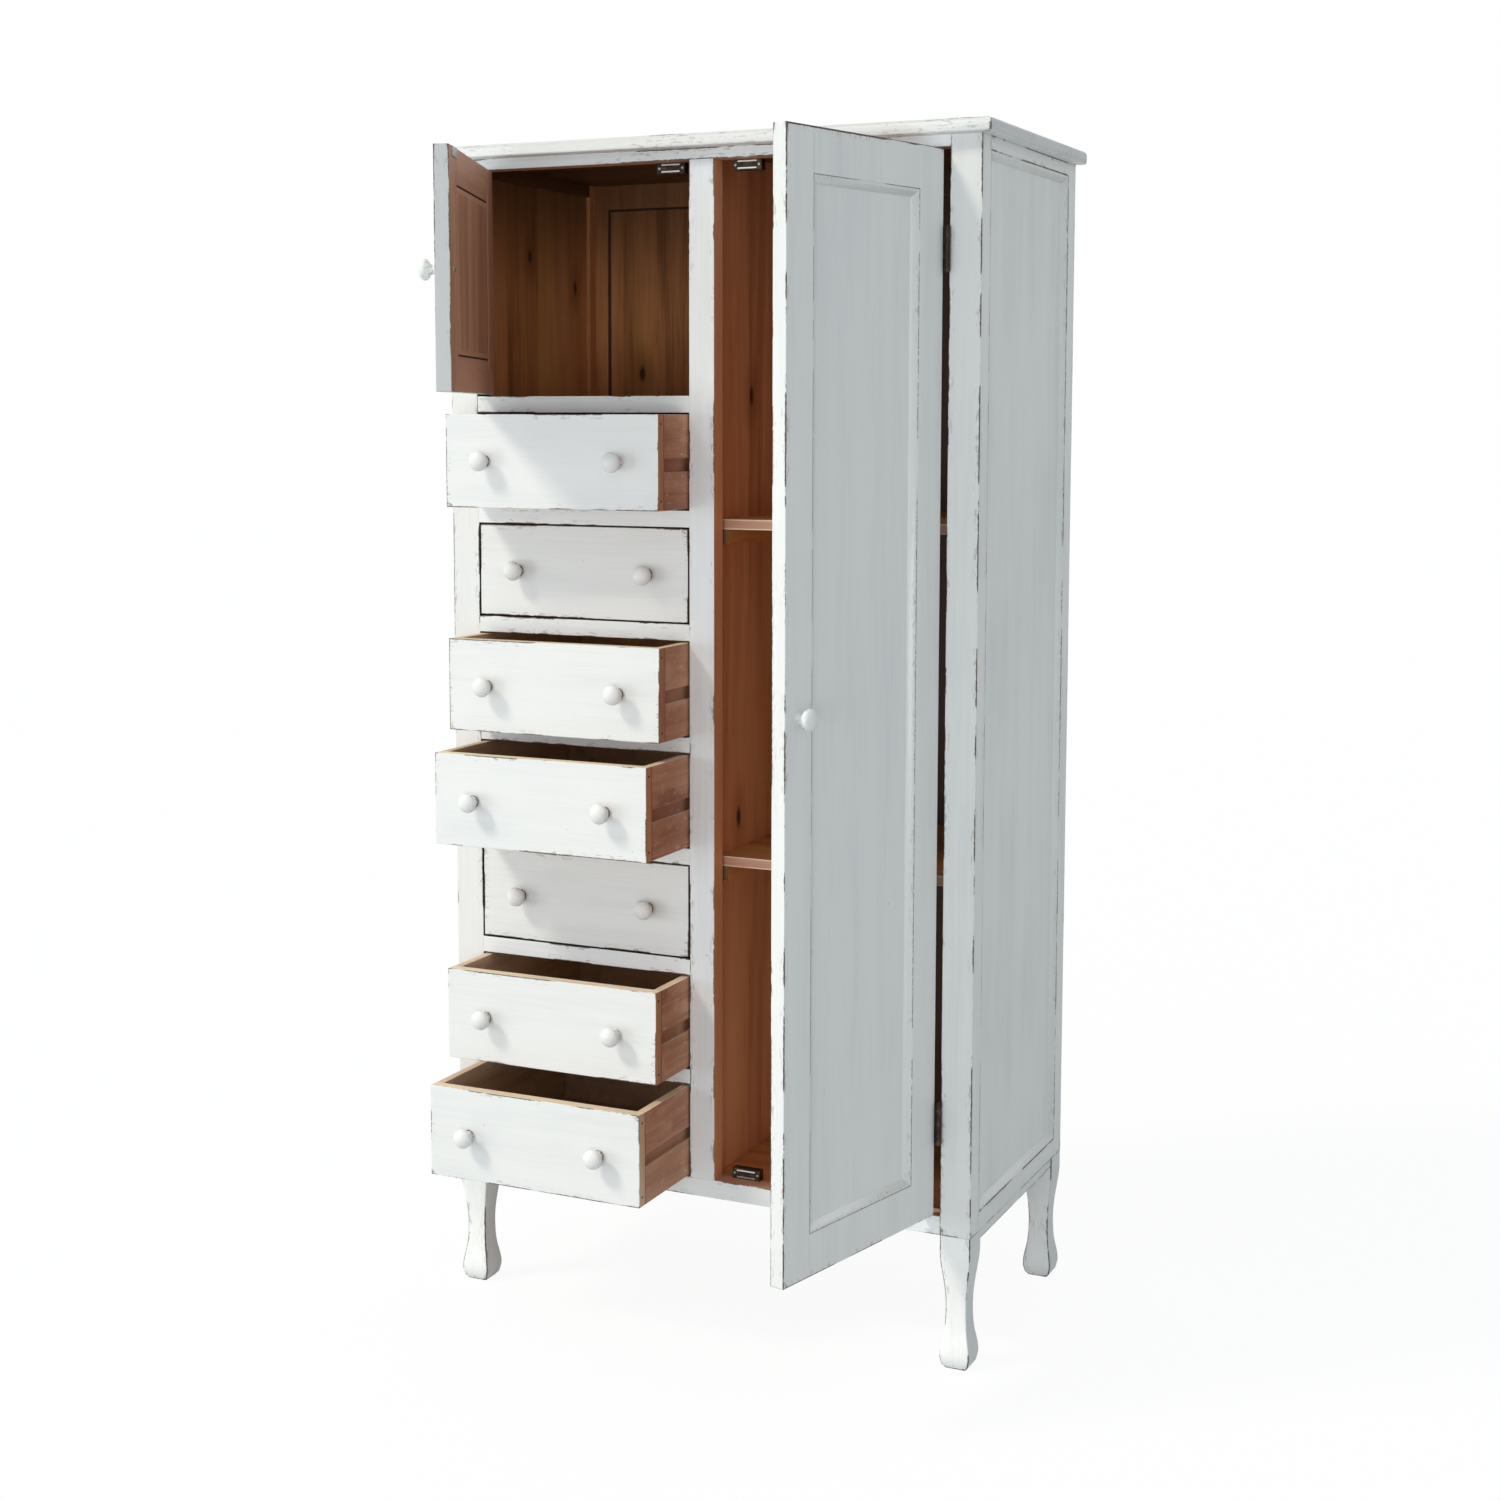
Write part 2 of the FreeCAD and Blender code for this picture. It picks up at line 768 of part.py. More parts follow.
def make_drawer_runners():
    """Battens on the side posts and on the partition that the drawers' grooves ride on."""
    runners = []
    for number in range(1, drawer_count + 1):
        x, z = drawer_box(number)
        groove = groove_span(z)
        span = (groove[0] + runner_bottom_clearance, groove[1] - runner_top_clearance)
        depth = runner_groove_depth - runner_side_clearance
        runners.append(block((-side_inner, x[0] + depth), (post_back, back_inner), span))
        runners.append(block((x[1] - depth, -partition_thickness / 2), (frame_back, back_inner), span))
    return group(runners)


def case_nodes():
    leaves, pins = case_hinge_solids()
    leg_reach = leg_width / 2
    return {"top_board": make_top_board(),
            "front_posts": group([make_front_post(-1), make_front_post(1)]),
            "rear_posts": make_rear_posts(),
            "centre_stile": make_centre_stile(),
            "front_rails": group([make_front_rail(opening_top, case_top),
                                  make_front_rail(case_bottom, opening_bottom)]),
            "drawer_rails": make_drawer_rails(),
            "side_rails": make_side_rails(),
            "side_panels": make_side_panels(),
            "side_mouldings": make_side_mouldings(),
            "back_frame": make_back_frame(),
            "back_panels": make_back_panels(),
            "partition": make_partition(),
            "floor_boards": group([make_bottom_board(), make_cupboard_floor()]),
            "wardrobe_shelves": make_shelves(),
            "shelf_cleats": make_shelf_cleats(),
            "drawer_runners": make_drawer_runners(),
            "legs": group(make_legs(front + leg_reach) + make_legs(back - leg_reach)),
            "side_aprons": make_side_aprons(),
            "magnetic_catches": make_catches(),
            "case_hinges": group(leaves + pins)}


nodes = case_nodes()
nodes.update(tall_door_nodes())
nodes.update(small_door_nodes())
for drawer in range(1, drawer_count + 1):
    nodes.update(drawer_nodes(drawer))

os.makedirs("parts", exist_ok=True)
for name, shape in nodes.items():
    shape.exportStep("parts/%s.step" % name)
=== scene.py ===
"""Worn white cabinet: finishes, softened edges and small metalwork, built round the fixed frame.

Metres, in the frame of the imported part: +Z up, the front of the cabinet towards -Y.
"""
import json
import math
from functools import cached_property

import bpy
from mathutils import Matrix, Vector

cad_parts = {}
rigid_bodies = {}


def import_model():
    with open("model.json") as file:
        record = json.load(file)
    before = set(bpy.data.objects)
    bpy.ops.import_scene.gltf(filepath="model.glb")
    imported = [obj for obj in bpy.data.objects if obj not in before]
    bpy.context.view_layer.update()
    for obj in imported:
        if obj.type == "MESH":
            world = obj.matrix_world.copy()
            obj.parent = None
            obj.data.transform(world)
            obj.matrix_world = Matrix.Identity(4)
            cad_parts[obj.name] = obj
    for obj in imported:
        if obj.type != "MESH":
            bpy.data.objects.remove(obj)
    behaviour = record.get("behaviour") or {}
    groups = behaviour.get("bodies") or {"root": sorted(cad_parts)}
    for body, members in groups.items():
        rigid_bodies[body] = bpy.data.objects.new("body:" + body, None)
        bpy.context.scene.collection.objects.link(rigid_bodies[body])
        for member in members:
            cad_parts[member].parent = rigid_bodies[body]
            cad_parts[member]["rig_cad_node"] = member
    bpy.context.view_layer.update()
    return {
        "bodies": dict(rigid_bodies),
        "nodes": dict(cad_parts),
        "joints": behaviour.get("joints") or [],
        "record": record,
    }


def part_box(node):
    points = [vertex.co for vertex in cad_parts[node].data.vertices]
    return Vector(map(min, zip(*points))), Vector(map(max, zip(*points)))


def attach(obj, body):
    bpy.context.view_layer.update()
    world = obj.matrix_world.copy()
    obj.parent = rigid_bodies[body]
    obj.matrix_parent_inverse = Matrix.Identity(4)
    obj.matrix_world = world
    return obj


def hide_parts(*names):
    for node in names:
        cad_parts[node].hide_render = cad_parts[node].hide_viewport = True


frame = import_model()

nodes = frame["nodes"]
bodies = frame["record"]["behaviour"]["bodies"]
body_of_node = {node: body for body, members in bodies.items() for node in members}
joints = {joint["name"]: joint for joint in frame["joints"]}
drawers = [body for body in sorted(frame["bodies"]) if body.startswith("drawer_")]
SHUT_DRAWERS = ("drawer_2", "drawer_5")

# Each door, its strike plates, and the side that it hangs on
DOORS = (("tall_door", "tall_door_strikes", 1), ("small_door", "small_door_strike", -1))

X, Y, Z = 0, 1, 2
RIGHT, FRONT, BACK, UP, DOWN = (1, 0, 0), (0, -1, 0), (0, 1, 0), (0, 0, 1), (0, 0, -1)

# Points closer than this are one point
SAME_PLACE = 0.00002

# Softened edges, and the bands beside them where paint is rubbed
EDGE = "edge_distance"
BOARD_ROUND = 0.0007
LEG_ROUND = 0.002
RUB_BAND = 0.012
CORNER_BAND = 0.0016
LEG_BAND = 0.009
JOINT_BAND = 0.003
SMOOTH_BELOW, SMOOTH_LEG_BELOW, SMOOTH_MOULDING_BELOW = (math.radians(angle) for angle in (40, 35, 25))
FLAT_BELOW = math.radians(0.4)

# Where edges are worn: a line along the top's rounded edge, its corners, a leg's corners and sole, a
# door's upper edge, and rings round a knob, by their distance from its foot; the rings at a knob's foot
# and under its head are painted shade in those creases as well as wear
TOP_LINE = 0.004
TOP_CORNER = 0.001
LEG_WORN = 0.0008
DOOR_TOP = 0.004
DOOR_TOP_WORN = 0.0013
KNOB_BACK_RING = 0.0163
KNOB_NECK_RING = 0.0105
KNOB_FOOT_RING = 0.0028
RING_BREAKS = 7
RING_BREAK_DEPTH = 0.0005
RING_TURN = 40

# Door panels: room for them in the rebate, and how far they fill it sideways and upwards
PANEL_ROOM = 0.0015
PANEL_SWELL = 0.0014
PANEL_RISE = 0.0011
REBATE_RIM = 0.003

# Small fasteners: radius and height of their heads, and how far in they are set
KNOB_SCREW = (0.004, 0.0014)
PLATE_SCREW = (0.002, 0.0004)
LEAF_SCREW = (0.003, 0.00015)
NAIL = (0.0018, 0.0004)
STRIKE_INSET = 0.003
CATCH_INSET = 0.004
CATCH_HEIGHT = 0.01
LEAF_THICKNESS = 0.0013
LEAF_INSET = 0.013
LEAF_DEPTH = 0.0195
NAIL_DEPTH = 0.009
NAIL_INSET = 0.014

# Paint, as linear colour
WHITE_PAINT = (0.815, 0.815, 0.805, 1)
# Painted light: a paler, bluer white that stands in for cool fill on parts in shade
FILL_LIGHT_PAINT = (0.85, 0.875, 0.885, 1)
# Painted light: a paler white for the legs
LIT_LEG_PAINT = (0.93, 0.93, 0.92, 1)
THIN_PAINT = (0.67, 0.685, 0.69, 1)
# Painted shade: a grey for faces that look away from the lamps
SHADE_PAINT = (0.575, 0.59, 0.595, 1)
# Painted light: a pale cream for faces that look up
LEDGE_LIGHT_PAINT = (0.94, 0.915, 0.87, 1)
CHIP_GREY = (0.3, 0.28, 0.26, 1)
RUBBED_DARK = (0.05, 0.036, 0.028, 1)
RUBBED_PALE = (0.24, 0.19, 0.15, 1)

# Painted light and shade on faces that look one way: the way they look, their colour and its share
LIT_LEDGES = (UP, LEDGE_LIGHT_PAINT, 0.85)
SHADED_TOP_ENDS = (RIGHT, SHADE_PAINT, 0.75)
SHADED_LEG_SIDES = (RIGHT, SHADE_PAINT, 0.5)

# How far wear reaches in from an edge: rubbed wood where much is worn, less everywhere, more or less by
# chance, the grey beside it, chips, and raw wood on a shelf's lips
WORN_REACH = 0.0015
SOUND_EDGE = 0.0006
RAGGED_REACH = 0.004
RUB_FADE = 0.0005
GREY_REACH = 0.0012
GREY_FADE = 0.0018
CHIP_REACH = 0.01
CHIP_FADE = 0.008
LIP_REACH = 0.003

# Streaks: how often they change in a metre, along the grain or the brush and across it, and the detail,
# roughness and distortion of their noise
FIGURE = (1.6, 26, 5, 0.62, 0.5)
FIBRE = (9, 420, 3, 0.6)
TINTED = (0.9, 8, 3, 0.55)
BRUSH = (7, 330, 4, 0.65)
SWEEP = (2.2, 24, 4, 0.6)
RAGGED = (150, 420, 4, 0.7)
CHIPS = (70, 260, 3, 0.6)
LIP = (30, 160, 3, 0.5)
BLOTCHES = (5, 16, 4, 0.6)
FLECKS = (42, 130, 4, 0.7)
DRAWN = (40, 900, 3, 0.5)

# How strongly stained wood shines, and how rough it is
SHEEN = 0.3
STAIN_ROUGHNESS = 0.42
BOX_ROUGHNESS = 0.46


class Stain:
    """Streaks of stained wood from dark to light, as linear colour, and the tint of some boards."""

    def __init__(self, *colours):
        self.dark, self.middle, self.light, self.tint = ((*colour, 1) for colour in colours)


CUPBOARD = Stain((0.25, 0.098, 0.031), (0.6, 0.262, 0.1), (0.78, 0.41, 0.19), (0.62, 0.345, 0.08))
# Dark stain of the cupboard's ceiling, darkened further as painted shade; its darkest is the painted shade
# on walls and far boards
CEILING_STAIN_AND_SHADE = Stain((0.045, 0.017, 0.006), (0.1, 0.042, 0.018), (0.15, 0.07, 0.032), (0.1, 0.053, 0.016))
BACK_OUTSIDE = Stain((0.12, 0.055, 0.026), (0.27, 0.145, 0.078), (0.38, 0.22, 0.13), (0.28, 0.16, 0.07))
WARDROBE = Stain((0.36, 0.132, 0.055), (0.68, 0.295, 0.145), (0.82, 0.44, 0.245), (0.62, 0.275, 0.095))
# Painted shade: nearly black, towards the far side of the wardrobe
FAR_SIDE_SHADE = Stain((0.02, 0.009, 0.004), (0.038, 0.017, 0.008), (0.06, 0.029, 0.014), (0.038, 0.02, 0.007))
STILE = Stain((0.58, 0.25, 0.13), (0.8, 0.4, 0.23), (0.9, 0.5, 0.3), (0.78, 0.42, 0.19))
TALL_DOOR = Stain((0.26, 0.11, 0.06), (0.46, 0.22, 0.13), (0.58, 0.32, 0.205), (0.42, 0.225, 0.11))
# Paler than the tall door's stain: painted light for the small door's inner face, which lies in shade
SMALL_DOOR_LIGHTENED = Stain((0.4, 0.185, 0.112), (0.63, 0.335, 0.225), (0.76, 0.465, 0.325), (0.57, 0.33, 0.18))
FRONT_END = Stain((0.36, 0.145, 0.078), (0.6, 0.275, 0.165), (0.74, 0.42, 0.27), (0.6, 0.31, 0.15))
# Painted shade: the dark ends of a drawer that is kept shut, as in the gap beside it
SHUT_END_SHADE = Stain((0.07, 0.032, 0.018), (0.12, 0.058, 0.034), (0.17, 0.09, 0.055), (0.12, 0.066, 0.03))
DRAWER_SIDE = Stain((0.27, 0.115, 0.072), (0.5, 0.245, 0.162), (0.68, 0.42, 0.29), (0.52, 0.29, 0.16))
DRAWER_INSIDE = Stain((0.36, 0.22, 0.14), (0.64, 0.45, 0.315), (0.77, 0.59, 0.44), (0.58, 0.42, 0.235))
RAW = Stain((0.6, 0.44, 0.28), (0.79, 0.64, 0.46), (0.88, 0.77, 0.6), (0.82, 0.66, 0.44))
# Nearly black: painted shade in the gaps beside drawers and round door panels, and the colour of dark joints
GAP_SHADE_AND_JOINT = Stain((0.01, 0.006, 0.004), (0.016, 0.01, 0.007), (0.022, 0.014, 0.01), (0.016, 0.01, 0.007))
END_GRAIN = (0.12, 0.05, 0.024, 1)
KNOT = (0.03, 0.01, 0.005, 1)

# Metal
BRONZE = (0.03, 0.021, 0.016, 1)
BRONZE_RUBBED = (0.12, 0.08, 0.05, 1)
NICKEL = (0.66, 0.65, 0.63, 1)
PLATE_STEEL = (0.42, 0.41, 0.395, 1)

# Floor and sky: what lights the cabinet, and the white that the camera sees
WHITE = (1, 1, 1, 1)
FLOOR_SIZE = 40
FLOOR_GREY = (0.47, 0.485, 0.495, 1)
FLOOR_WHITE = 1.08
FLOOR_WHITE_SHARE = 0.86
SKY = (0.88, 0.965, 1.0, 1)
SKY_STRENGTH = 0.57

# Lamps: a broad one high on the left in front, and panels, which have an angle from straight ahead, a
# distance, a height, a size and a power
SUN_PLACE = (-2, -2, 3)
SUN_TOWARDS = (1.14, 1.0, -1.57)
SUN_STRENGTH = 1.66
SUN_WIDTH = math.radians(12)
SUN_COLOUR = (1.0, 0.945, 0.83)
LEFT_WINDOW = (-46, 4.5, 1.0, (3.0, 1.8), 38)
FRONT_FILL = (10, 4.8, 0.75, (2.4, 1.4), 45)
PANEL_COLOUR = (0.94, 0.98, 1.0)
PANELS_FACE = (0, 0, 0.95)

# Camera: place, its turns in degrees, lens and sensor in millimetres, and shift of the picture plane
CAMERA_PLACE = (1.45756, -3.01691, 1.38867)
YAW, PITCH, ROLL = 24.6952, -5.8331, 0.0962
LENS, SENSOR = 53.5236, 36
SHIFT_RIGHT, SHIFT_UP = -0.0045, -0.07


def unit(axis):
    return Vector([float(i == axis) for i in range(3)])


def centre_of(box):
    return (box[0] + box[1]) / 2


def hinge_turn(body):
    """How far a door stands open at rest, about +Z."""
    joint = joints[body + "_hinge"]
    return -math.radians(joint["range_deg"][0]) * joint["axis"][Z]


def closed_place(body):
    """The move that shuts a door; no move at all for a body that isn't one."""
    if body + "_hinge" not in joints:
        return Matrix.Identity(4)
    pin = Vector(joints[body + "_hinge"]["pos_m"])
    return Matrix.Translation(pin) @ Matrix.Rotation(-hinge_turn(body), 4, "Z") @ Matrix.Translation(-pin)


# Finishes

def arithmetic(operation, reflected=False):
    """A method that adds a Math node to a socket's tree."""
    def method(self, *others):
        values = (*others, self) if reflected else (self, *others)
        return self.owner.math(operation, *values)

    return method


class Socket:
    """A node's output. Arithmetic on it adds Math nodes beside it."""

    def __init__(self, owner, output):
        self.owner = owner
        self.output = output

    __add__ = __radd__ = arithmetic("ADD")
    __sub__ = arithmetic("SUBTRACT")
    __rsub__ = arithmetic("SUBTRACT", reflected=True)
    __mul__ = __rmul__ = arithmetic("MULTIPLY")
    __truediv__ = arithmetic("DIVIDE")
    __gt__ = arithmetic("GREATER_THAN")
    __lt__ = arithmetic("LESS_THAN")
    largest = arithmetic("MAXIMUM")
    smallest = arithmetic("MINIMUM")
    size = arithmetic("ABSOLUTE")
    whole = arithmetic("FLOOR")

    def step(self, low, high):
        """0 below low, 1 above high and a soft rise between."""
        return self.owner.node("ShaderNodeMapRange", {"interpolation_type": "SMOOTHSTEP"},
                               {"Value": self, "From Min": low, "From Max": high})


class NodeTree:
    """The nodes of a material or of the world."""

    def __init__(self, tree):
        self.tree = tree

    def node(self, kind, settings=None, inputs=None, output=0):
        """Adds a node: its settings first, then the value or link of each socket, by name or number."""
        made = self.tree.nodes.new(kind)
        for name, value in (settings or {}).items():
            setattr(made, name, value)
        for key, value in (inputs or {}).items():
            if isinstance(value, Socket):
                self.tree.links.new(value.output, made.inputs[key])
            else:
                made.inputs[key].default_value = value
        return Socket(self, made.outputs[output])

    def math(self, operation, *values):
        return self.node("ShaderNodeMath", {"operation": operation}, dict(enumerate(values)))

    def white_to_view(self):
        """1 for rays from the camera, from a shiny surface or through glass."""
        rays = ("Is Camera Ray", "Is Glossy Ray", "Is Transmission Ray")
        first, second, third = [self.node("ShaderNodeLightPath", output=ray) for ray in rays]
        return first.largest(second).largest(third)

    def show(self, share, first, second, output):
        """Shows a mix of two shaders."""
        mixed = self.node("ShaderNodeMixShader", None, {0: share, 1: first, 2: second})
        self.tree.links.new(mixed.output, self.tree.nodes[output].inputs["Surface"])


class Finish(NodeTree):
    """One material and the nodes of its surface."""

    def __init__(self, name, body=None, **constants):
        self.material = bpy.data.materials.new(name)
        self.material.use_nodes = True
        super().__init__(self.material.node_tree)
        self.body = body
        self.shader = self.tree.nodes["Principled BSDF"]
        for socket, value in constants.items():
            self.shader.inputs[socket.replace("_", " ")].default_value = value

    def wear(self, **sockets):
        """Feeds what changes over the surface to the shader."""
        for name, value in sockets.items():
            self.tree.links.new(value.output, self.shader.inputs[name.replace("_", " ")])
        return self.material

    def lay_stain(self, colour, tone, roughness=STAIN_ROUGHNESS):
        """Finishes stained wood, rough and raised along its grain."""
        return self.wear(Base_Color=colour, Roughness=roughness + tone * 0.12,
                         Normal=self.bump(tone, 0.0006, 0.35))

    @cached_property
    def place(self):
        """Object coordinates; for a door, those of the same point with the door shut."""
        place = self.node("ShaderNodeTexCoord", output="Object")
        if self.body:
            shut = closed_place(self.body)
            place = self.node("ShaderNodeMapping", None, {"Vector": place, "Location": shut.to_translation(),
                                                          "Rotation": shut.to_euler()})
        return place

    def part_of(self, vector, axis):
        return self.node("ShaderNodeSeparateXYZ", None, {0: vector}, output=axis)

    def at(self, axis):
        """One coordinate of the place."""
        return self.part_of(self.place, axis)

    def facing(self, direction):
        """How far the surface faces a direction, from -1 to 1."""
        normal = self.node("ShaderNodeTexCoord", output="Normal")
        return self.node("ShaderNodeVectorMath", {"operation": "DOT_PRODUCT"}, {0: normal, 1: direction},
                         output="Value")

    def edge(self):
        """How far a point is from the nearest edge that wears."""
        return self.node("ShaderNodeAttribute", {"attribute_name": EDGE}, output="Fac")

    def noise(self, vector, scale, detail, roughness, distortion=0.0):
        return self.node("ShaderNodeTexNoise", None, {"Vector": vector, "Scale": scale, "Detail": detail,
                                                      "Roughness": roughness, "Distortion": distortion})

    def streaks(self, axis, pattern):
        """Noise that is drawn out along one axis."""
        along, across, *texture = pattern
        scale = [across] * 3
        scale[axis] = along
        place = self.node("ShaderNodeMapping", None, {"Vector": self.place, "Scale": scale})
        return self.noise(place, 1.0, *texture)

    def blend(self, share, first, second):
        """A colour between two others."""
        return self.node("ShaderNodeMix", {"data_type": "RGBA"}, {0: share, 6: first, 7: second}, output=2)

    def bump(self, height, distance, strength):
        return self.node("ShaderNodeBump", None,
                         {"Height": height, "Distance": distance, "Strength": strength})

    def knots(self, across, along):
        """Heart and ring of oval knots, in about half of the cells that they are strewn over."""
        cells = self.node("ShaderNodeCombineXYZ", None, {0: across, 1: along})
        chance = {"Vector": cells, "Scale": 1.0, "Randomness": 0.8}
        away, hue = (self.node("ShaderNodeTexVoronoi", {"voronoi_dimensions": "2D"}, chance, output)
                     for output in ("Distance", "Color"))
        chosen = self.part_of(hue, X) > 0.5
        return (1 - away.step(0.02, 0.07)) * chosen, (1 - away.step(0.05, 0.24)) * chosen

    def wood(self, axis, across_axis, stain, boards=0.0, knots=0.0):
        """Stained wood: streaks of grain, boards of differing tone and tint, and knots.

        boards is their width, and knots how many cells of them lie in a metre. Gives colour and tone.
        """
        across = self.at(across_axis)
        figure, fibre, tinted = (self.streaks(axis, pattern) for pattern in (FIGURE, FIBRE, TINTED))
        tone = figure * 0.95 + fibre * 0.42
        if boards:
            shade = self.node("ShaderNodeTexWhiteNoise", {"noise_dimensions": "1D"},
                              {"W": (across / boards).whole()})
            tone = tone + shade * 0.36 - 0.18
            tinted = tinted + shade * 0.14 - 0.07
        colour = self.blend(tone.step(0.32, 0.7), stain.dark, stain.middle)
        colour = self.blend(tone.step(0.62, 1.02), colour, stain.light)
        tint = self.blend(tone.step(0.36, 0.74), stain.dark, stain.tint)
        colour = self.blend(tinted.step(0.46, 0.64) * 0.6, colour, tint)
        if knots:
            heart, ring = self.knots(across * knots, self.at(axis) * knots * 0.45)
            colour = self.blend(heart * 0.9, self.blend(ring * 0.55, colour, stain.dark), KNOT)
        return colour, tone

    def stained(self, *wood, **pattern):
        """Only the colour of stained wood."""
        return self.wood(*wood, **pattern)[0]


def darker_ends(finish, axis, colour):
    """Sawn ends of a board take more stain."""
    return finish.blend(finish.facing(unit(axis)).size().step(0.6, 0.9) * 0.85, colour, END_GRAIN)


def shade_above(finish, colour):
    """Painted shade: walls of the small cupboard darken towards its ceiling."""
    return finish.blend(finish.at(Z).step(1.56, 1.78) * 0.7, colour, CEILING_STAIN_AND_SHADE.dark)


def shade_far_side(finish, colour):
    """Painted shade: level boards of the wardrobe darken towards the post that its door hangs on."""
    return finish.blend(finish.at(X).step(0.16, 0.3) * 0.85, colour, CEILING_STAIN_AND_SHADE.dark)


def stained_wood(name, axis, across_axis, stain):
    """A board stained all over."""
    finish = Finish(name, Specular_IOR_Level=SHEEN)
    colour, tone = finish.wood(axis, across_axis, stain)
    return finish.lay_stain(darker_ends(finish, axis, colour), tone)


def back_stain(name, boards=0.0, knots=0.0, joint=0.0):
    """The back: painted shade, nearly black, at the far side of the wardrobe, and a dark joint with painted
    shade round its panels.
    """
    finish = Finish(name, Specular_IOR_Level=SHEEN)
    within, tone = finish.wood(Z, X, CUPBOARD, boards, knots)
    behind = finish.stained(Z, X, BACK_OUTSIDE, boards, knots)
    far = finish.stained(Z, X, FAR_SIDE_SHADE, boards)
    # Painted shade: darker towards the cupboard's ceiling, and nearly black towards the far side of the
    # wardrobe
    colour = finish.blend(finish.at(X).step(0.03, 0.19), shade_above(finish, within), far)
    colour = finish.blend(finish.facing(FRONT).step(0.3, 0.7), behind, colour)
    # A dark joint, with painted shade where the panels run into the frame
    if joint:
        shade_in_joint = 1 - finish.edge().step(joint - 0.001, joint + 0.001)
        colour = finish.blend(shade_in_joint * 0.9, colour, GAP_SHADE_AND_JOINT.middle)
    return finish.lay_stain(colour, tone)


def partition_stain():
    """The wall between the columns, paler towards the floor."""
    finish = Finish("partition_stain", Specular_IOR_Level=SHEEN)
    above, tone = finish.wood(Z, Y, WARDROBE, boards=0.105, knots=6.5)
    below = finish.stained(Z, Y, STILE, boards=0.105, knots=6.5)
    colour = finish.blend(finish.at(Z).step(0.35, 1.25), below, above)
    return finish.lay_stain(darker_ends(finish, Z, colour), tone)


def floor_stain():
    finish = Finish("floor_stain", Specular_IOR_Level=SHEEN)
    colour, tone = finish.wood(X, Y, CUPBOARD, boards=0.1, knots=5.0)
    # Painted shade towards the far side of the wardrobe
    return finish.lay_stain(shade_far_side(finish, colour), tone)


def shelf_stain():
    """Shelves: stained, with the stain worn off both lips of the front edge."""
    finish = Finish("shelf_stain")
    at_front = finish.facing(FRONT).step(0.3, 0.7)
    colour, tone = finish.wood(X, Y, CUPBOARD, boards=0.1, knots=5.0)
    colour = finish.blend(at_front, colour, finish.stained(X, Z, DRAWER_SIDE))
    worn = (finish.streaks(X, LIP) * LIP_REACH - finish.edge()).step(0.0, 0.001)
    colour = finish.blend(worn * at_front, colour, finish.stained(X, Z, RAW))
    # Painted shade towards the far side of the wardrobe
    return finish.lay_stain(shade_far_side(finish, colour), tone)


def drawer_box_wood():
    """Sides and back of a drawer: reddish outside, darker within, painted shade in the runner groove, raw on
    top.
    """
    finish = Finish("drawer_box_stain")
    low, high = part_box("drawer_1_box")
    outer, tone = finish.wood(Y, Z, DRAWER_SIDE, knots=7.0)
    blotch = finish.streaks(Y, BLOTCHES)
    outer = finish.blend(blotch.step(0.54, 0.66) * 0.7, outer, DRAWER_SIDE.light)
    outer = finish.blend((1 - blotch.step(0.34, 0.46)) * 0.65, outer, DRAWER_SIDE.dark)
    fleck = finish.streaks(Y, FLECKS)
    outer = finish.blend(fleck.step(0.58, 0.68) * 0.55, outer, RAW.middle)
    outer = finish.blend((1 - finish.edge().step(0.0006, 0.0014)) * 0.8, outer, GAP_SHADE_AND_JOINT.middle)
    from_middle = finish.at(X) - (low.x + high.x) / 2
    sunk = (high.x - low.x) / 2 - 0.002 > from_middle.size()
    # Painted shade: the runner groove darker
    outer = finish.blend(sunk * 0.6, outer, DRAWER_SIDE.dark)
    outward = from_middle * finish.facing(RIGHT) * 6
    colour = finish.blend(outward.step(0.1, 0.5), finish.stained(Y, Z, DRAWER_INSIDE), outer)
    on_top = finish.facing(UP).step(0.5, 0.8) * (1 - sunk)
    return finish.lay_stain(finish.blend(on_top, colour, finish.stained(Y, X, RAW)), tone, BOX_ROUGHNESS)


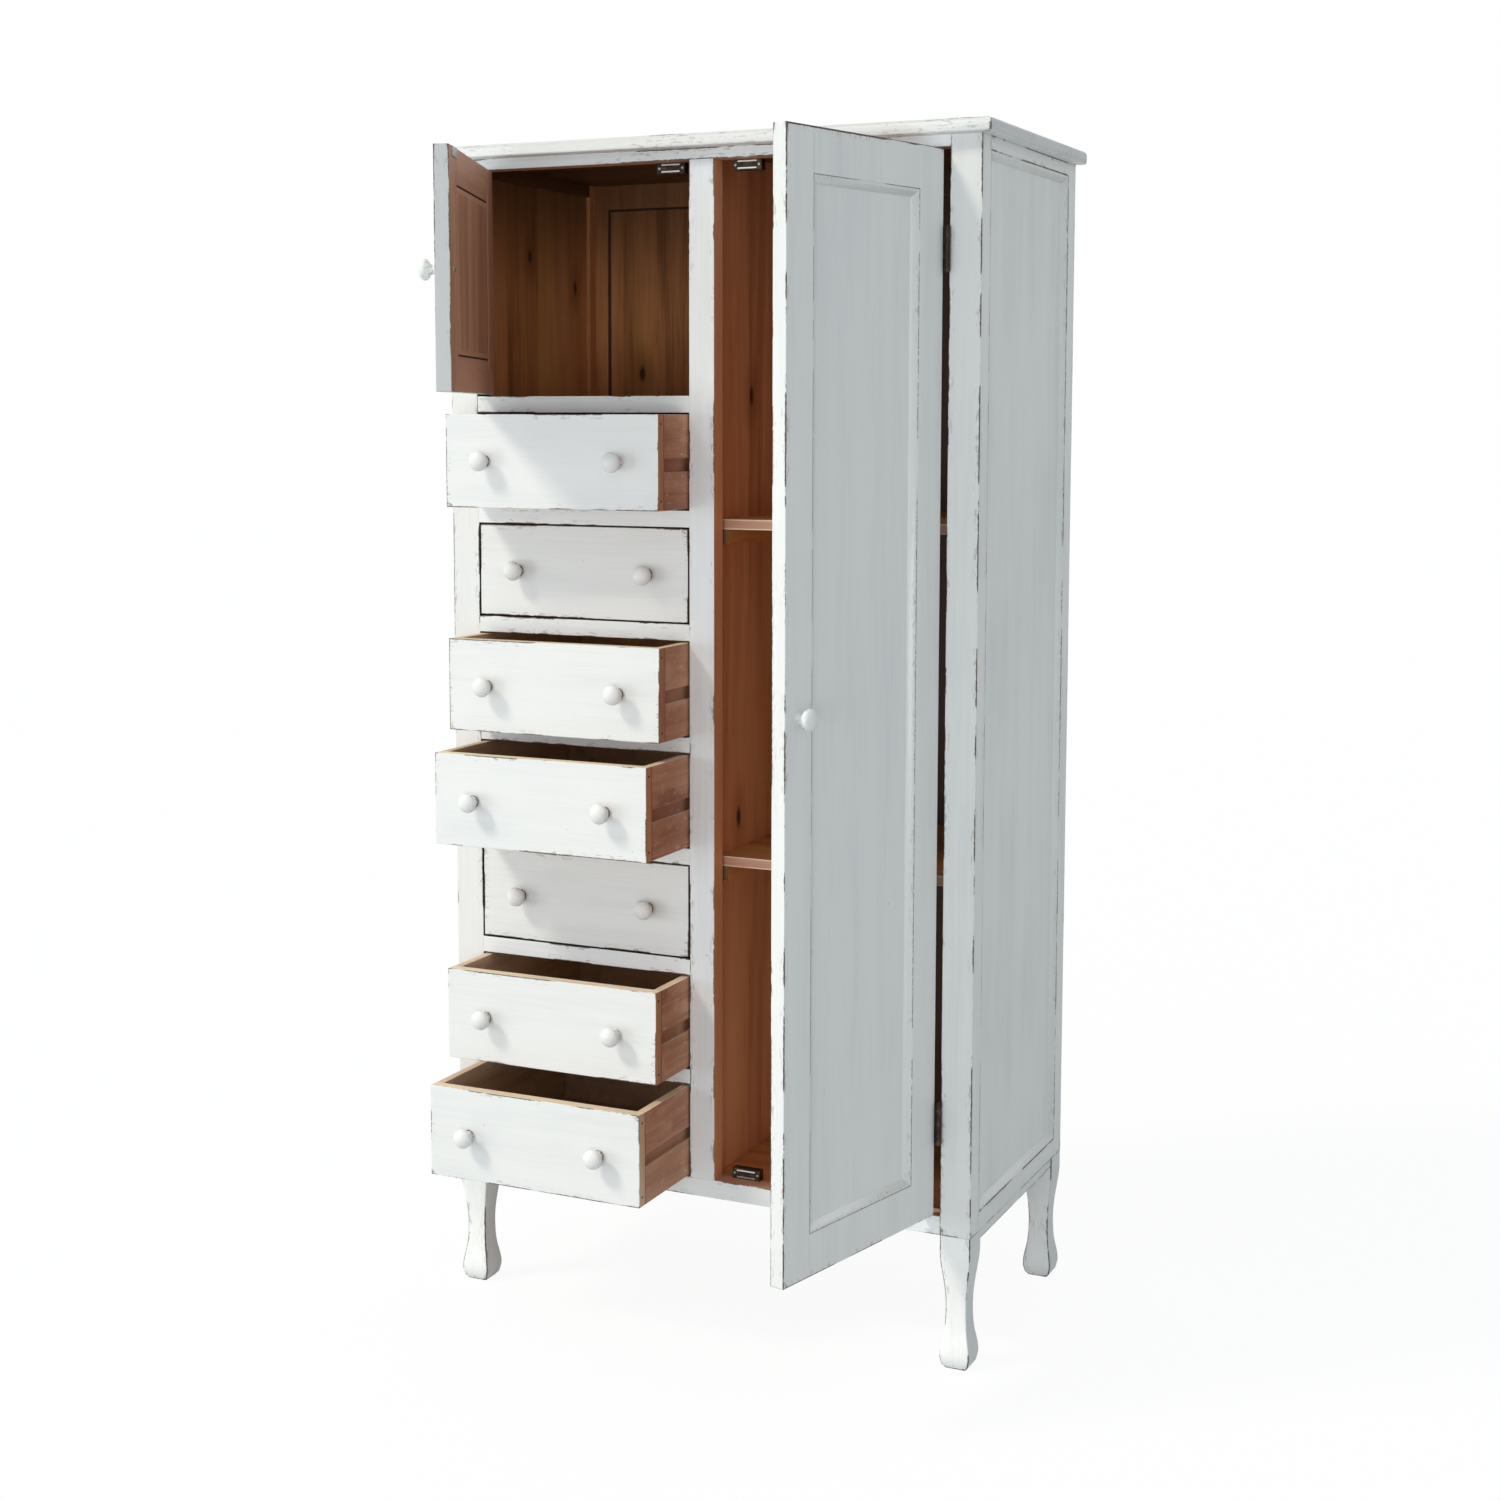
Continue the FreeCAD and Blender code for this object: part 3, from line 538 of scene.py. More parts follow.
def worn_paint(name, axis, painted=None, bare=None, body=None, rub=1.0, light_or_shade=None, white=WHITE_PAINT,
               shift=0.0):
    """White brushed paint, rubbed through to dark wood in thin broken lines along the edges.

    painted(finish) is 1 where there is paint, and bare(finish) is the colour elsewhere. More of the edges
    are worn where rub is larger, and shift moves the worn places about. A direction may be given, with the
    colour painted as light or shade on the faces that look that way, and its share.
    """
    finish = Finish(name, body)
    edge = finish.edge()
    brush = finish.streaks(axis, BRUSH)
    sweep = finish.streaks(axis, SWEEP)
    cloud = finish.noise(finish.place, scale=5.0, detail=3, roughness=0.6)
    thin = (brush * 0.55 + sweep * 0.75 + cloud * 0.4 - 0.55).step(0.16, 0.62)
    colour = finish.blend(thin * 0.5, white, THIN_PAINT)
    # Painted light or shade on the faces that look one way
    if light_or_shade:
        direction, tone, share = light_or_shade
        colour = finish.blend(finish.facing(direction).step(0.4, 0.8) * share, colour, tone)
    moved = finish.node("ShaderNodeMapping", None, {"Vector": finish.place, "Location": (shift,) * 3})
    patch = finish.noise(moved, scale=9.0, detail=3, roughness=0.6)
    ragged = finish.streaks(axis, RAGGED)
    chip = finish.streaks(axis, CHIPS)
    worn = patch.step(0.58 - 0.1 * rub, 0.68 - 0.1 * rub)
    reach = worn * WORN_REACH - SOUND_EDGE + (ragged - 0.5) * RAGGED_REACH
    rubbed = (reach - edge).step(0.0, RUB_FADE)
    greyed = (reach + GREY_REACH - edge).step(0.0, GREY_FADE)
    chipped = chip.step(0.56, 0.62) * patch.step(0.44, 0.56) * (CHIP_REACH - edge).step(0.0, CHIP_FADE)
    speck = finish.noise(finish.place, scale=120.0, detail=2, roughness=0.4).step(0.77, 0.79)
    speck = speck * patch.step(0.5, 0.6)
    colour = finish.blend(greyed * 0.22, colour, RUBBED_PALE)
    colour = finish.blend(chipped.largest(speck) * 0.5, colour, CHIP_GREY)
    colour = finish.blend(rubbed, colour, finish.blend(ragged.step(0.45, 0.68), RUBBED_DARK, RUBBED_PALE))
    height = brush * 0.5 + sweep * 0.3 - rubbed * 0.9 - chipped * 0.4
    if painted:
        cover = (painted(finish) + (ragged - 0.5) * 0.2).step(0.45, 0.55)
        colour = finish.blend(cover, bare(finish), colour)
    return finish.wear(Base_Color=colour, Roughness=0.46 + thin * 0.12 + rubbed * 0.2,
                       Normal=finish.bump(height, 0.0005, 0.5))


def front_only(finish):
    return finish.facing(FRONT).step(0.2, 0.7)


def outside_only(finish):
    """The faces that look away from the middle of the cabinet."""
    return (finish.facing(RIGHT) * finish.at(X) * 3).step(0.2, 0.7)


def front_and_outside(finish):
    return outside_only(finish).largest(front_only(finish))


def front_and_under(finish):
    """The front of every rail, and the underside of the lowest."""
    lowest = 0.5 > finish.at(Z)
    return (finish.facing(DOWN).step(0.2, 0.7) * lowest).largest(front_only(finish))


def top_cover(finish):
    """All of the top board but the part of its underside that shuts the case."""
    low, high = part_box("side_panels")
    inside = (finish.at(Y) > low.y) * (high.x > finish.at(X).size())
    return 1 - inside * finish.facing(DOWN).step(0.5, 0.8)


def door_cover(body):
    """Every face of a door but the inner one and the rebate round its panel."""
    turn = hinge_turn(body)
    inward = (-math.sin(turn), math.cos(turn), 0)
    low, high = door_corners(body)
    panel_low = solid_boxes(body + "_panel")[0][0]
    rim = panel_low.x - low.x - REBATE_RIM

    def cover(finish):
        x, y, z = (finish.at(axis) for axis in (X, Y, Z))
        from_rim = (x - low.x).smallest(high.x - x).smallest((z - low.z).smallest(high.z - z))
        rebate = (y > panel_low.y + 0.001) * (from_rim > rim)
        return 1 - finish.facing(inward).step(0.4, 0.8).largest(rebate)

    return cover


def door_bare(body):
    """A door's inner face, with the grain of its rails lying across, and painted shade in the gap round its
    panel.
    """
    low, high = door_corners(body)
    left_stile, _, rail = solid_boxes(body + "_frame")[:3]
    stile_width = left_stile[1].x - left_stile[0].x
    rail_height = rail[1].z - rail[0].z
    # The small door's stain is the paler one, painted light
    stain = TALL_DOOR if body == "tall_door" else SMALL_DOOR_LIGHTENED

    def bare(finish):
        x, z = finish.at(X), finish.at(Z)
        at_end = rail_height > (z - low.z).smallest(high.z - z)
        between_stiles = (x - low.x).smallest(high.x - x) > stile_width
        upright = finish.stained(Z, X, stain, boards=0.1, knots=6.0)
        colour = finish.blend(at_end * between_stiles, upright, finish.stained(X, Z, stain))
        # Painted shade: nearly black on the gap's faces that look up or down
        return finish.blend(finish.facing(UP).size().step(0.4, 0.8), colour, GAP_SHADE_AND_JOINT.middle)

    return bare


def bare_stain(axis, across_axis, stain, boards=0.0):
    return lambda finish: finish.stained(axis, across_axis, stain, boards)


def cupboard_wall(finish):
    # Painted shade towards the cupboard's ceiling
    return shade_above(finish, finish.stained(Z, Y, CUPBOARD, boards=0.098, knots=8.5))


def upright_bare(finish):
    """Inner faces of the uprights: stained towards the wardrobe, and painted shade, nearly black, beside the
    drawers.
    """
    into_wardrobe = finish.facing(RIGHT).step(0.5, 0.8) * (finish.at(X) > 0)
    return finish.blend(into_wardrobe, finish.stained(X, Z, GAP_SHADE_AND_JOINT), finish.stained(Z, Y, STILE))


def rear_post_bare(finish):
    """Unpainted faces of the rear posts: like the back behind, like the cupboard's walls within."""
    within, behind = finish.stained(Z, Y, CUPBOARD), finish.stained(Z, X, BACK_OUTSIDE)
    return finish.blend(finish.facing(BACK).step(0.3, 0.7), within, behind)


def raw_on_top(finish, colour):
    """Raw wood along the top of a drawer's front."""
    return finish.blend(finish.facing(UP).step(0.4, 0.8), colour, finish.stained(X, Y, RAW))


def shut_drawer_end_shade(finish):
    """The front of a drawer that is kept shut: painted shade on its ends, dark like the gap beside them."""
    return raw_on_top(finish, finish.stained(Z, Y, SHUT_END_SHADE))


def drawer_front_bare(finish):
    """Stain on the ends and the inner face of a drawer's front, worn pale on the lowest drawer."""
    lowest = 0.4 > finish.at(Z)
    stain = finish.blend(lowest * 0.65, finish.stained(Z, Y, FRONT_END), finish.stained(Z, Y, RAW))
    return raw_on_top(finish, stain)


def dark_bronze():
    finish = Finish("dark_bronze", Metallic=0.85)
    rubbed = finish.noise(finish.place, scale=60.0, detail=4, roughness=0.6).step(0.52, 0.68)
    colour = finish.blend(rubbed * 0.6, BRONZE, BRONZE_RUBBED)
    return finish.wear(Base_Color=colour, Roughness=0.34 + rubbed * 0.2)


def catch_metal():
    """A dark housing and the bright plates that stand proud of it."""
    finish = Finish("catch_metal")
    front = min(low.y for low, _ in solid_boxes("magnetic_catches"))
    bright = front + 0.0007 > finish.at(Y)
    worn = finish.noise(finish.place, scale=140.0, detail=3, roughness=0.6)
    colour = finish.blend(bright, finish.blend(worn.step(0.45, 0.7), BRONZE, BRONZE_RUBBED), NICKEL)
    return finish.wear(Base_Color=colour, Metallic=0.6 + bright * 0.4,
                       Roughness=0.42 - bright * 0.14 + worn * 0.1)


def bright_nickel():
    finish = Finish("bright_nickel", Metallic=1.0)
    drawn = finish.streaks(X, DRAWN)
    return finish.wear(Base_Color=finish.blend(drawn.step(0.3, 0.7) * 0.3, PLATE_STEEL, BRONZE_RUBBED),
                       Roughness=0.22 + drawn * 0.16, Normal=finish.bump(drawn, 0.0001, 0.3))


# Modelling

def deselect():
    bpy.ops.object.select_all(action="DESELECT")


def only(piece):
    """Selects one piece and nothing else."""
    deselect()
    piece.select_set(True)
    bpy.context.view_layer.objects.active = piece


def active():
    return bpy.context.active_object


def copy_of(piece):
    only(piece)
    bpy.ops.object.duplicate()
    return active()


def edit(piece, mode="VERT"):
    only(piece)
    bpy.ops.object.mode_set(mode="EDIT")
    bpy.ops.mesh.select_mode(type=mode)
    bpy.ops.mesh.select_all(action="DESELECT")


def select_all():
    bpy.ops.mesh.select_all(action="SELECT")


def done():
    bpy.ops.object.mode_set(mode="OBJECT")


def round_edges(piece, width, test):
    """Rounds the edges that pass a test, and stays in edit mode."""
    edit(piece, "EDGE")
    done()
    for line in piece.data.edges:
        line.select = test(line)
    bpy.ops.object.mode_set(mode="EDIT")
    bpy.ops.mesh.bevel(offset=width, segments=3, affect="EDGES")


def slice_across(axis, places):
    """Cuts lines round the piece in edit mode, at places along an axis."""
    for place in places:
        select_all()
        bpy.ops.mesh.bisect(plane_co=unit(axis) * place, plane_no=unit(axis))


def modify(piece, kind, **settings):
    """Gives a piece a modifier and applies it."""
    only(piece)
    bpy.ops.object.modifier_add(type=kind)
    modifier = piece.modifiers[-1]
    for name, value in settings.items():
        setattr(modifier, name, value)
    bpy.ops.object.modifier_apply(modifier=modifier.name)


def smooth(piece, angle=SMOOTH_BELOW):
    only(piece)
    bpy.ops.object.shade_smooth_by_angle(angle=angle)


def flatten_shading(piece):
    """Keeps flat faces flat beside their rounded edges."""
    smooth(piece)
    modify(piece, "WEIGHTED_NORMAL")


def ends(piece, line):
    return [piece.data.vertices[i].co for i in line.vertices]


def runs_along(piece, line, axes):
    first, second = ends(piece, line)
    step = second - first
    return any(abs(step[axis]) > 0.99 * step.length for axis in axes)


def merged_copy(node):
    """A copy of a node's mesh with its loose triangles joined, and flat faces made whole."""
    piece = copy_of(nodes[node])
    del piece["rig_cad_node"]
    edit(piece)
    select_all()
    bpy.ops.mesh.remove_doubles(threshold=SAME_PLACE)
    bpy.ops.mesh.dissolve_limited(angle_limit=FLAT_BELOW)
    done()
    return piece


def box_round(points):
    return Vector(map(min, *points)), Vector(map(max, *points))


def solid_faces(node):
    """The faces of each solid of a node, in order: a solid ends where its last open edge shuts."""
    mesh = nodes[node].data
    corner = [tuple(round(c, 6) for c in vertex.co) for vertex in mesh.vertices]
    solids, current, still_open = [], [], set()
    for face in mesh.polygons:
        current.append(face.index)
        ring = [corner[i] for i in face.vertices]
        for first, second in zip(ring, ring[1:] + ring[:1]):
            if (second, first) in still_open:
                still_open.remove((second, first))
            else:
                still_open.add((first, second))
        if not still_open:
            solids.append(current)
            current = []
    return solids + [current] if current else solids


def solid_boxes(node):
    """Lowest and highest corner of each solid of a node, with its door shut."""
    mesh = nodes[node].data
    shut = closed_place(body_of_node[node])
    boxes = []
    for faces in solid_faces(node):
        corners = [shut @ mesh.vertices[i].co for face in faces for i in mesh.polygons[face].vertices]
        boxes.append(box_round(corners))
    return boxes


def door_corners(body):
    """Lowest and highest corner of a shut door. Its stiles come first among the solids of its frame."""
    left_stile, right_stile = solid_boxes(body + "_frame")[:2]
    return left_stile[0], right_stile[1]


def block(low, high):
    """A plain block between two corners, to be shaped further or to cut with."""
    deselect()
    bpy.ops.mesh.primitive_cube_add(size=1, location=(low + high) / 2, scale=high - low)
    piece = active()
    bpy.ops.object.transform_apply()
    return piece


def cut_away(piece, cutter):
    """Takes a cutter's shape out of a piece, and the cutter away."""
    modify(piece, "BOOLEAN", object=cutter)
    only(cutter)
    bpy.ops.object.delete()


def board(low, high, axes, rebate=None):
    """A plank between two corners, with its edges along the given axes rounded, and marked for wear."""
    piece = block(low, high)
    round_edges(piece, BOARD_ROUND, lambda line: runs_along(piece, line, axes))
    for axis in (X, Y, Z):
        if axes != (axis,):
            for inset in (RUB_BAND, CORNER_BAND):
                slice_across(axis, (low[axis] + inset, high[axis] - inset))
    done()
    if rebate:
        cut_away(piece, block(*rebate))
    mark_edges(piece, lambda co: edge_distance(co, low, high, axes))
    flatten_shading(piece)
    return piece


def edge_distance(co, low, high, axes):
    """How far a point of a plank's surface lies from its nearest rounded edge."""
    gap = [min(co[i] - low[i], high[i] - co[i]) for i in range(3)]
    near = min(math.hypot(gap[axis - 1], gap[axis - 2]) for axis in axes)
    return min(max(near - BOARD_ROUND, 0.0), RUB_BAND)


def mark_edges(piece, distance):
    attribute = piece.data.attributes.get(EDGE) or piece.data.attributes.new(EDGE, "FLOAT", "POINT")
    attribute.data.foreach_set("value", [distance(vertex.co) for vertex in piece.data.vertices])


def joined(pieces):
    deselect()
    for piece in pieces:
        piece.select_set(True)
    bpy.context.view_layer.objects.active = pieces[0]
    if len(pieces) > 1:
        bpy.ops.object.join()
    return pieces[0]


def dress(piece, node, finish):
    """Lets a piece stand for a node, in its place and on its body."""
    piece.name = "dressed_" + node
    piece.data.materials.clear()
    piece.data.materials.append(finish)
    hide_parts(node)
    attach(piece, body_of_node[node])


def planked(node, axes_of, finish, trim=None, marks=None, rebate=None):
    """Replaces a node with planks of its solids' sizes, rounded along the axes that axes_of(size) names.

    A frame's planks are marked by a function of their own, so that they don't wear at their joints.
    """
    planks = []
    for low, high in solid_boxes(node):
        if trim:
            low.x, high.x = max(low.x, trim[0]), min(high.x, trim[1])
        planks.append(board(low, high, axes_of(high - low), rebate))
    piece = joined(planks)
    if marks:
        mark_edges(piece, marks)
    piece.data.transform(closed_place(body_of_node[node]).inverted())
    dress(piece, node, finish)


def lengthwise(size):
    """Only the edges along a plank's length, for one that meets others at its ends."""
    return (max(range(3), key=lambda axis: size[axis]),)


def all_round(size):
    return (X, Y, Z)


def door_edges(size):
    """A door's stiles are rounded along their length and ends, its rails along their length."""
    return (X, Z) if size.z > size.x else (X,)


def plain(node, finish):
    """Keeps a node's own shape and gives it a finish."""
    nodes[node].data.materials.clear()
    nodes[node].data.materials.append(finish)


def make_case():
    """Front frame, sides, top and inside boards."""
    posts = solid_boxes("front_posts")
    left_inside, right_inside = posts[0][1].x, posts[1][0].x

    def post_edges(co):
        low, high = min(posts, key=lambda box: abs(centre_of(box).x - co.x))
        return edge_distance(co, low, high + unit(Z), (X, Y, Z))

    paint = worn_paint("post_paint", Z, front_and_outside, upright_bare, rub=1.3)
    planked("front_posts", all_round, paint, marks=post_edges)
    # The stile and the rails take the paler, bluer white: painted fill light
    paint = worn_paint("stile_paint", Z, front_only, upright_bare, white=FILL_LIGHT_PAINT)
    planked("centre_stile", lengthwise, paint)
    # The rails' unpainted faces share the small door's stain, lightened as painted light
    bare = bare_stain(X, Y, SMALL_DOOR_LIGHTENED)
    paint = worn_paint("front_rail_paint", X, front_and_under, bare, white=FILL_LIGHT_PAINT)
    planked("front_rails", lengthwise, paint, trim=(left_inside, right_inside))
    # Painted shade: the rails' unpainted faces nearly black, in the gaps above and below the drawers
    paint = worn_paint("drawer_rail_paint", X, front_only, bare_stain(X, Z, GAP_SHADE_AND_JOINT), white=FILL_LIGHT_PAINT)
    planked("drawer_rails", lengthwise, paint, trim=(left_inside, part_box("centre_stile")[0].x))
    planked("rear_posts", all_round, worn_paint("rear_post_paint", Z, outside_only, rear_post_bare))
    paint = worn_paint("side_rail_paint", Y, outside_only, bare_stain(Y, Z, CEILING_STAIN_AND_SHADE), rub=1.8)
    planked("side_rails", lengthwise, paint)
    planked("side_aprons", lengthwise, worn_paint("apron_paint", Y, rub=1.8))
    panel = merged_copy("side_panels")
    mark_edges(panel, lambda co: RUB_BAND)
    dress(panel, "side_panels", worn_paint("side_panel_paint", Z, outside_only, cupboard_wall))
    make_top()
    # Painted light: cream on the mouldings' upward faces
    make_mouldings("side_mouldings", Y, worn_paint("side_moulding_paint", Z, rub=2.2, light_or_shade=LIT_LEDGES))
    make_legs()
    planked("back_panels", all_round, back_stain("back_panel_stain", boards=0.098, knots=8.0, joint=0.0095))
    planked("back_frame", lengthwise, back_stain("back_frame_stain"))
    plain("partition", partition_stain())
    plain("floor_boards", floor_stain())
    planked("wardrobe_shelves", lengthwise, shelf_stain())
    plain("shelf_cleats", stained_wood("cleat_stain", Y, Z, CUPBOARD))
    plain("drawer_runners", stained_wood("runner_stain", Y, Z, CUPBOARD))


def make_top():
    """The top board: paint rubbed along its rounded edges."""
    low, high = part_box("top_board")
    piece = merged_copy("top_board")
    edit(piece)
    slice_across(X, (low.x + RUB_BAND, high.x - RUB_BAND))
    slice_across(Y, (low.y + RUB_BAND,))
    done()
    smooth(piece)

    def distance(co):
        side = min(co.x - low.x, high.x - co.x)
        front = co.y - low.y
        corner = math.hypot(side, front)
        return min(abs(min(side, front) - TOP_LINE), max(corner - TOP_CORNER, 0.0), RUB_BAND)

    mark_edges(piece, distance)
    under = bare_stain(X, Y, CEILING_STAIN_AND_SHADE, boards=0.1)
    # Painted shade: grey on the end of the top that looks right
    dress(piece, "top_board", worn_paint("top_paint", X, top_cover, under, rub=0.3, light_or_shade=SHADED_TOP_ENDS))


def make_mouldings(node, across_axis, finish):
    """Mitred strips: paint worn along the joint with the frame and along the panel."""
    piece = merged_copy(node)
    shut = closed_place(body_of_node[node])
    low, high = box_round([shut @ vertex.co for vertex in piece.data.vertices])

    def distance(co):
        place = shut @ co
        gap = min(min(place[axis] - low[axis], high[axis] - place[axis]) for axis in (across_axis, Z))
        return min(max(gap, 0.0), RUB_BAND)

    mark_edges(piece, distance)
    smooth(piece, SMOOTH_MOULDING_BELOW)
    dress(piece, node, finish)


def leg_levels(low, high):
    """Height and half width of a leg at each level, read off the corner line of one leg's solid."""
    half = (high.x - low.x) / 2
    centre = centre_of((low, high))
    levels = {}
    for vertex in nodes["legs"].data.vertices:
        away = vertex.co - centre
        corner = abs(abs(away.x) - abs(away.y)) < SAME_PLACE
        if corner and max(abs(away.x), abs(away.y)) < half + SAME_PLACE:
            levels[round(vertex.co.z, 4)] = abs(away.x)
    return sorted(levels.items())


def make_legs():
    """Each leg is drawn up level by level from its sole, and its corners are rounded."""
    legs = []
    for low, high in solid_boxes("legs"):
        levels = leg_levels(low, high)
        centre = centre_of((low, high))
        sole_height, sole = levels[0]
        deselect()
        bpy.ops.mesh.primitive_plane_add(size=2 * sole, location=(centre.x, centre.y, sole_height))
        piece = active()
        bpy.ops.object.transform_apply()
        edit(piece, "FACE")
        select_all()
        width = sole
        for below, (height, half) in zip(levels, levels[1:]):
            bpy.ops.mesh.extrude_region_move(TRANSFORM_OT_translate={"value": (0, 0, height - below[0])})
            share = half / width
            bpy.ops.transform.resize(value=(share, share, 1), center_override=(centre.x, centre.y, height))
            width = half
        select_all()
        bpy.ops.mesh.normals_make_consistent(inside=False)
        done()
        legs.append(round_leg(piece, centre, sole_height))
    # A paler white as painted light, with painted shade on the sides that look right
    paint = worn_paint("leg_paint", Z, rub=1.5, light_or_shade=SHADED_LEG_SIDES, white=LIT_LEG_PAINT, shift=0.23)
    dress(joined(legs), "legs", paint)


def round_leg(piece, centre, sole_height):
    """Rounds a leg's four corner lines and marks how far its faces are from them and from its sole."""
    def upright(line):
        first, second = ends(piece, line)
        return abs(first.z - second.z) > SAME_PLACE

    round_edges(piece, LEG_ROUND, upright)
    for axis in (X, Y):
        slice_across(axis, (centre[axis] - LEG_BAND, centre[axis] + LEG_BAND))
    done()
    smooth(piece, SMOOTH_LEG_BELOW)

    def distance(co):
        away = co - centre
        corner = abs(abs(away.x) - abs(away.y))
        return min(corner - LEG_WORN, co.z - sole_height - LEG_WORN, RUB_BAND)

    mark_edges(piece, distance)
    return piece


def make_door(body):
    """One door: frame, panel, moulding and knob painted outside and stained inside."""
    turn = hinge_turn(body)
    hung_left = turn < 0
    # Painted shade: grey on the small door's free edge
    shaded_free_edge = ((math.cos(turn), math.sin(turn), 0), SHADE_PAINT, 1.0) if hung_left else None
    paint = worn_paint(body + "_paint", Z, door_cover(body), door_bare(body), body, rub=1.4, light_or_shade=shaded_free_edge)
    low, high = door_corners(body)
    sound = (low - unit(X), high) if hung_left else (low, high + unit(X))

    def outline(co):
        """Worn along every edge but the hinged one, most along the top."""
        worn_top = DOOR_TOP_WORN if co.z > high.z - DOOR_TOP else 0.0
        return edge_distance(co, *sound, (X, Z)) - worn_top

    panel_low, panel_high = solid_boxes(body + "_panel")[0]
    room = Vector((PANEL_ROOM, 0, PANEL_ROOM))
    rebate = (panel_low - room, Vector((panel_high.x, 2 * high.y - panel_low.y, panel_high.z)) + room)
    planked(body + "_frame", door_edges, paint, marks=outline, rebate=rebate)
    make_door_panel(body, paint)
    # Painted light: cream on the moulding's upward faces
    moulding_paint = worn_paint(body + "_moulding_paint", Z, body=body, rub=2.2, light_or_shade=LIT_LEDGES)
    make_mouldings(body + "_moulding", X, moulding_paint)
    make_knobs(body + "_knob", door_knob_paint)


def make_door_panel(body, paint):
    """The panel, swollen tight between the stiles, with a thin joint left at the rails."""
    low, high = solid_boxes(body + "_panel")[0]
    swollen = Vector((PANEL_SWELL, 0, PANEL_RISE))
    panel = board(low - swollen, high + swollen, (X,))
    mark_edges(panel, lambda co: RUB_BAND)
    panel.data.transform(closed_place(body).inverted())
    dress(panel, body + "_panel", paint)


def make_knobs(node, paint):
    """Turned knobs, rubbed in rings: at the foot, under the head, and a broken one round its back. The rings
    at the foot and under the head are painted shade in those creases as well as wear.
    """
    piece = merged_copy(node)
    smooth(piece)
    shut = closed_place(body_of_node[node])
    base = max((shut @ vertex.co).y for vertex in piece.data.vertices)
    middles = [centre_of(box) for box in solid_boxes(node)]

    def distance(co):
        place = shut @ co
        out = base - place.y
        middle = min(middles, key=lambda point: abs(point.x - place.x))
        angle = math.atan2(place.z - middle.z, place.x - middle.x)
        broken = RING_BREAK_DEPTH * (1 + math.sin(RING_BREAKS * angle + RING_TURN * middle.z))
        return min(abs(out - KNOB_BACK_RING) + broken, abs(out - KNOB_NECK_RING), abs(out - KNOB_FOOT_RING),
                   RUB_BAND)

    mark_edges(piece, distance)
    dress(piece, node, paint)


def make_drawers():
    front = worn_paint("drawer_front_paint", X, front_only, drawer_front_bare, rub=1.6, shift=0.41)
    # Painted shade on the ends of the drawers that are kept shut
    end_shaded_front = worn_paint("shut_drawer_shade_paint", X, front_only, shut_drawer_end_shade, shift=0.41)
    sides = drawer_box_wood()
    bottom = stained_wood("drawer_bottom_stain", X, Y, DRAWER_INSIDE)
    for drawer in drawers:
        planked(drawer + "_front", all_round, end_shaded_front if drawer in SHUT_DRAWERS else front)
        box = merged_copy(drawer + "_box")
        modify(box, "BEVEL", width=BOARD_ROUND, segments=2, limit_method="ANGLE")
        flatten_shading(box)
        mark_joint(box)
        dress(box, drawer + "_box", sides)
        plain(drawer + "_bottom", bottom)
        make_knobs(drawer + "_knobs", knob_paint)


def mark_joint(box):
    """Marks how far a drawer's sides are from the joint with its front."""
    joint = min(vertex.co.y for vertex in box.data.vertices)
    edit(box)
    slice_across(Y, (joint + JOINT_BAND,))
    done()
    mark_edges(box, lambda co: min(co.y - joint, JOINT_BAND))


def make_metalwork():
    bronze = dark_bronze()
    nickel = bright_nickel()
    plain("case_hinges", bronze)
    plain("magnetic_catches", catch_metal())
    for body, strikes, _ in DOORS:
        plain(body + "_hinge_leaves", bronze)
        plain(strikes, nickel)
    make_fasteners(bronze, nickel)


# Small fasteners

def fastener_head(radius, height, slotted=True):
    """A low domed head that stands at the origin, with a slot for a driver if it is a screw."""
    deselect()
    bpy.ops.mesh.primitive_cylinder_add(vertices=20, radius=radius, depth=height,
                                        location=(0, 0, height / 2))
    head = active()
    bpy.ops.object.transform_apply()
    round_edges(head, height * 0.8, lambda line: all(co.z > height * 0.9 for co in ends(head, line)))
    done()
    if slotted:
        slot = Vector((radius * 1.5, radius * 0.15, height / 2))
        cut_away(head, block(unit(Z) * height - slot, unit(Z) * height + slot))
    smooth(head)
    return head


def fasten(name, head, seats, finish, body):
    """Sets a copy of a head at each seat, a point and the way it looks, given with the doors shut."""
    copies = []
    for point, outward in seats:
        copy = copy_of(head)
        turn = Vector(outward).to_track_quat("Z", "Y").to_matrix().to_4x4()
        copy.data.transform(Matrix.Translation(point) @ turn)
        copies.append(copy)
    piece = joined(copies)
    piece.name = name
    piece.data.transform(closed_place(body).inverted())
    piece.data.materials.append(finish)
    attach(piece, body)


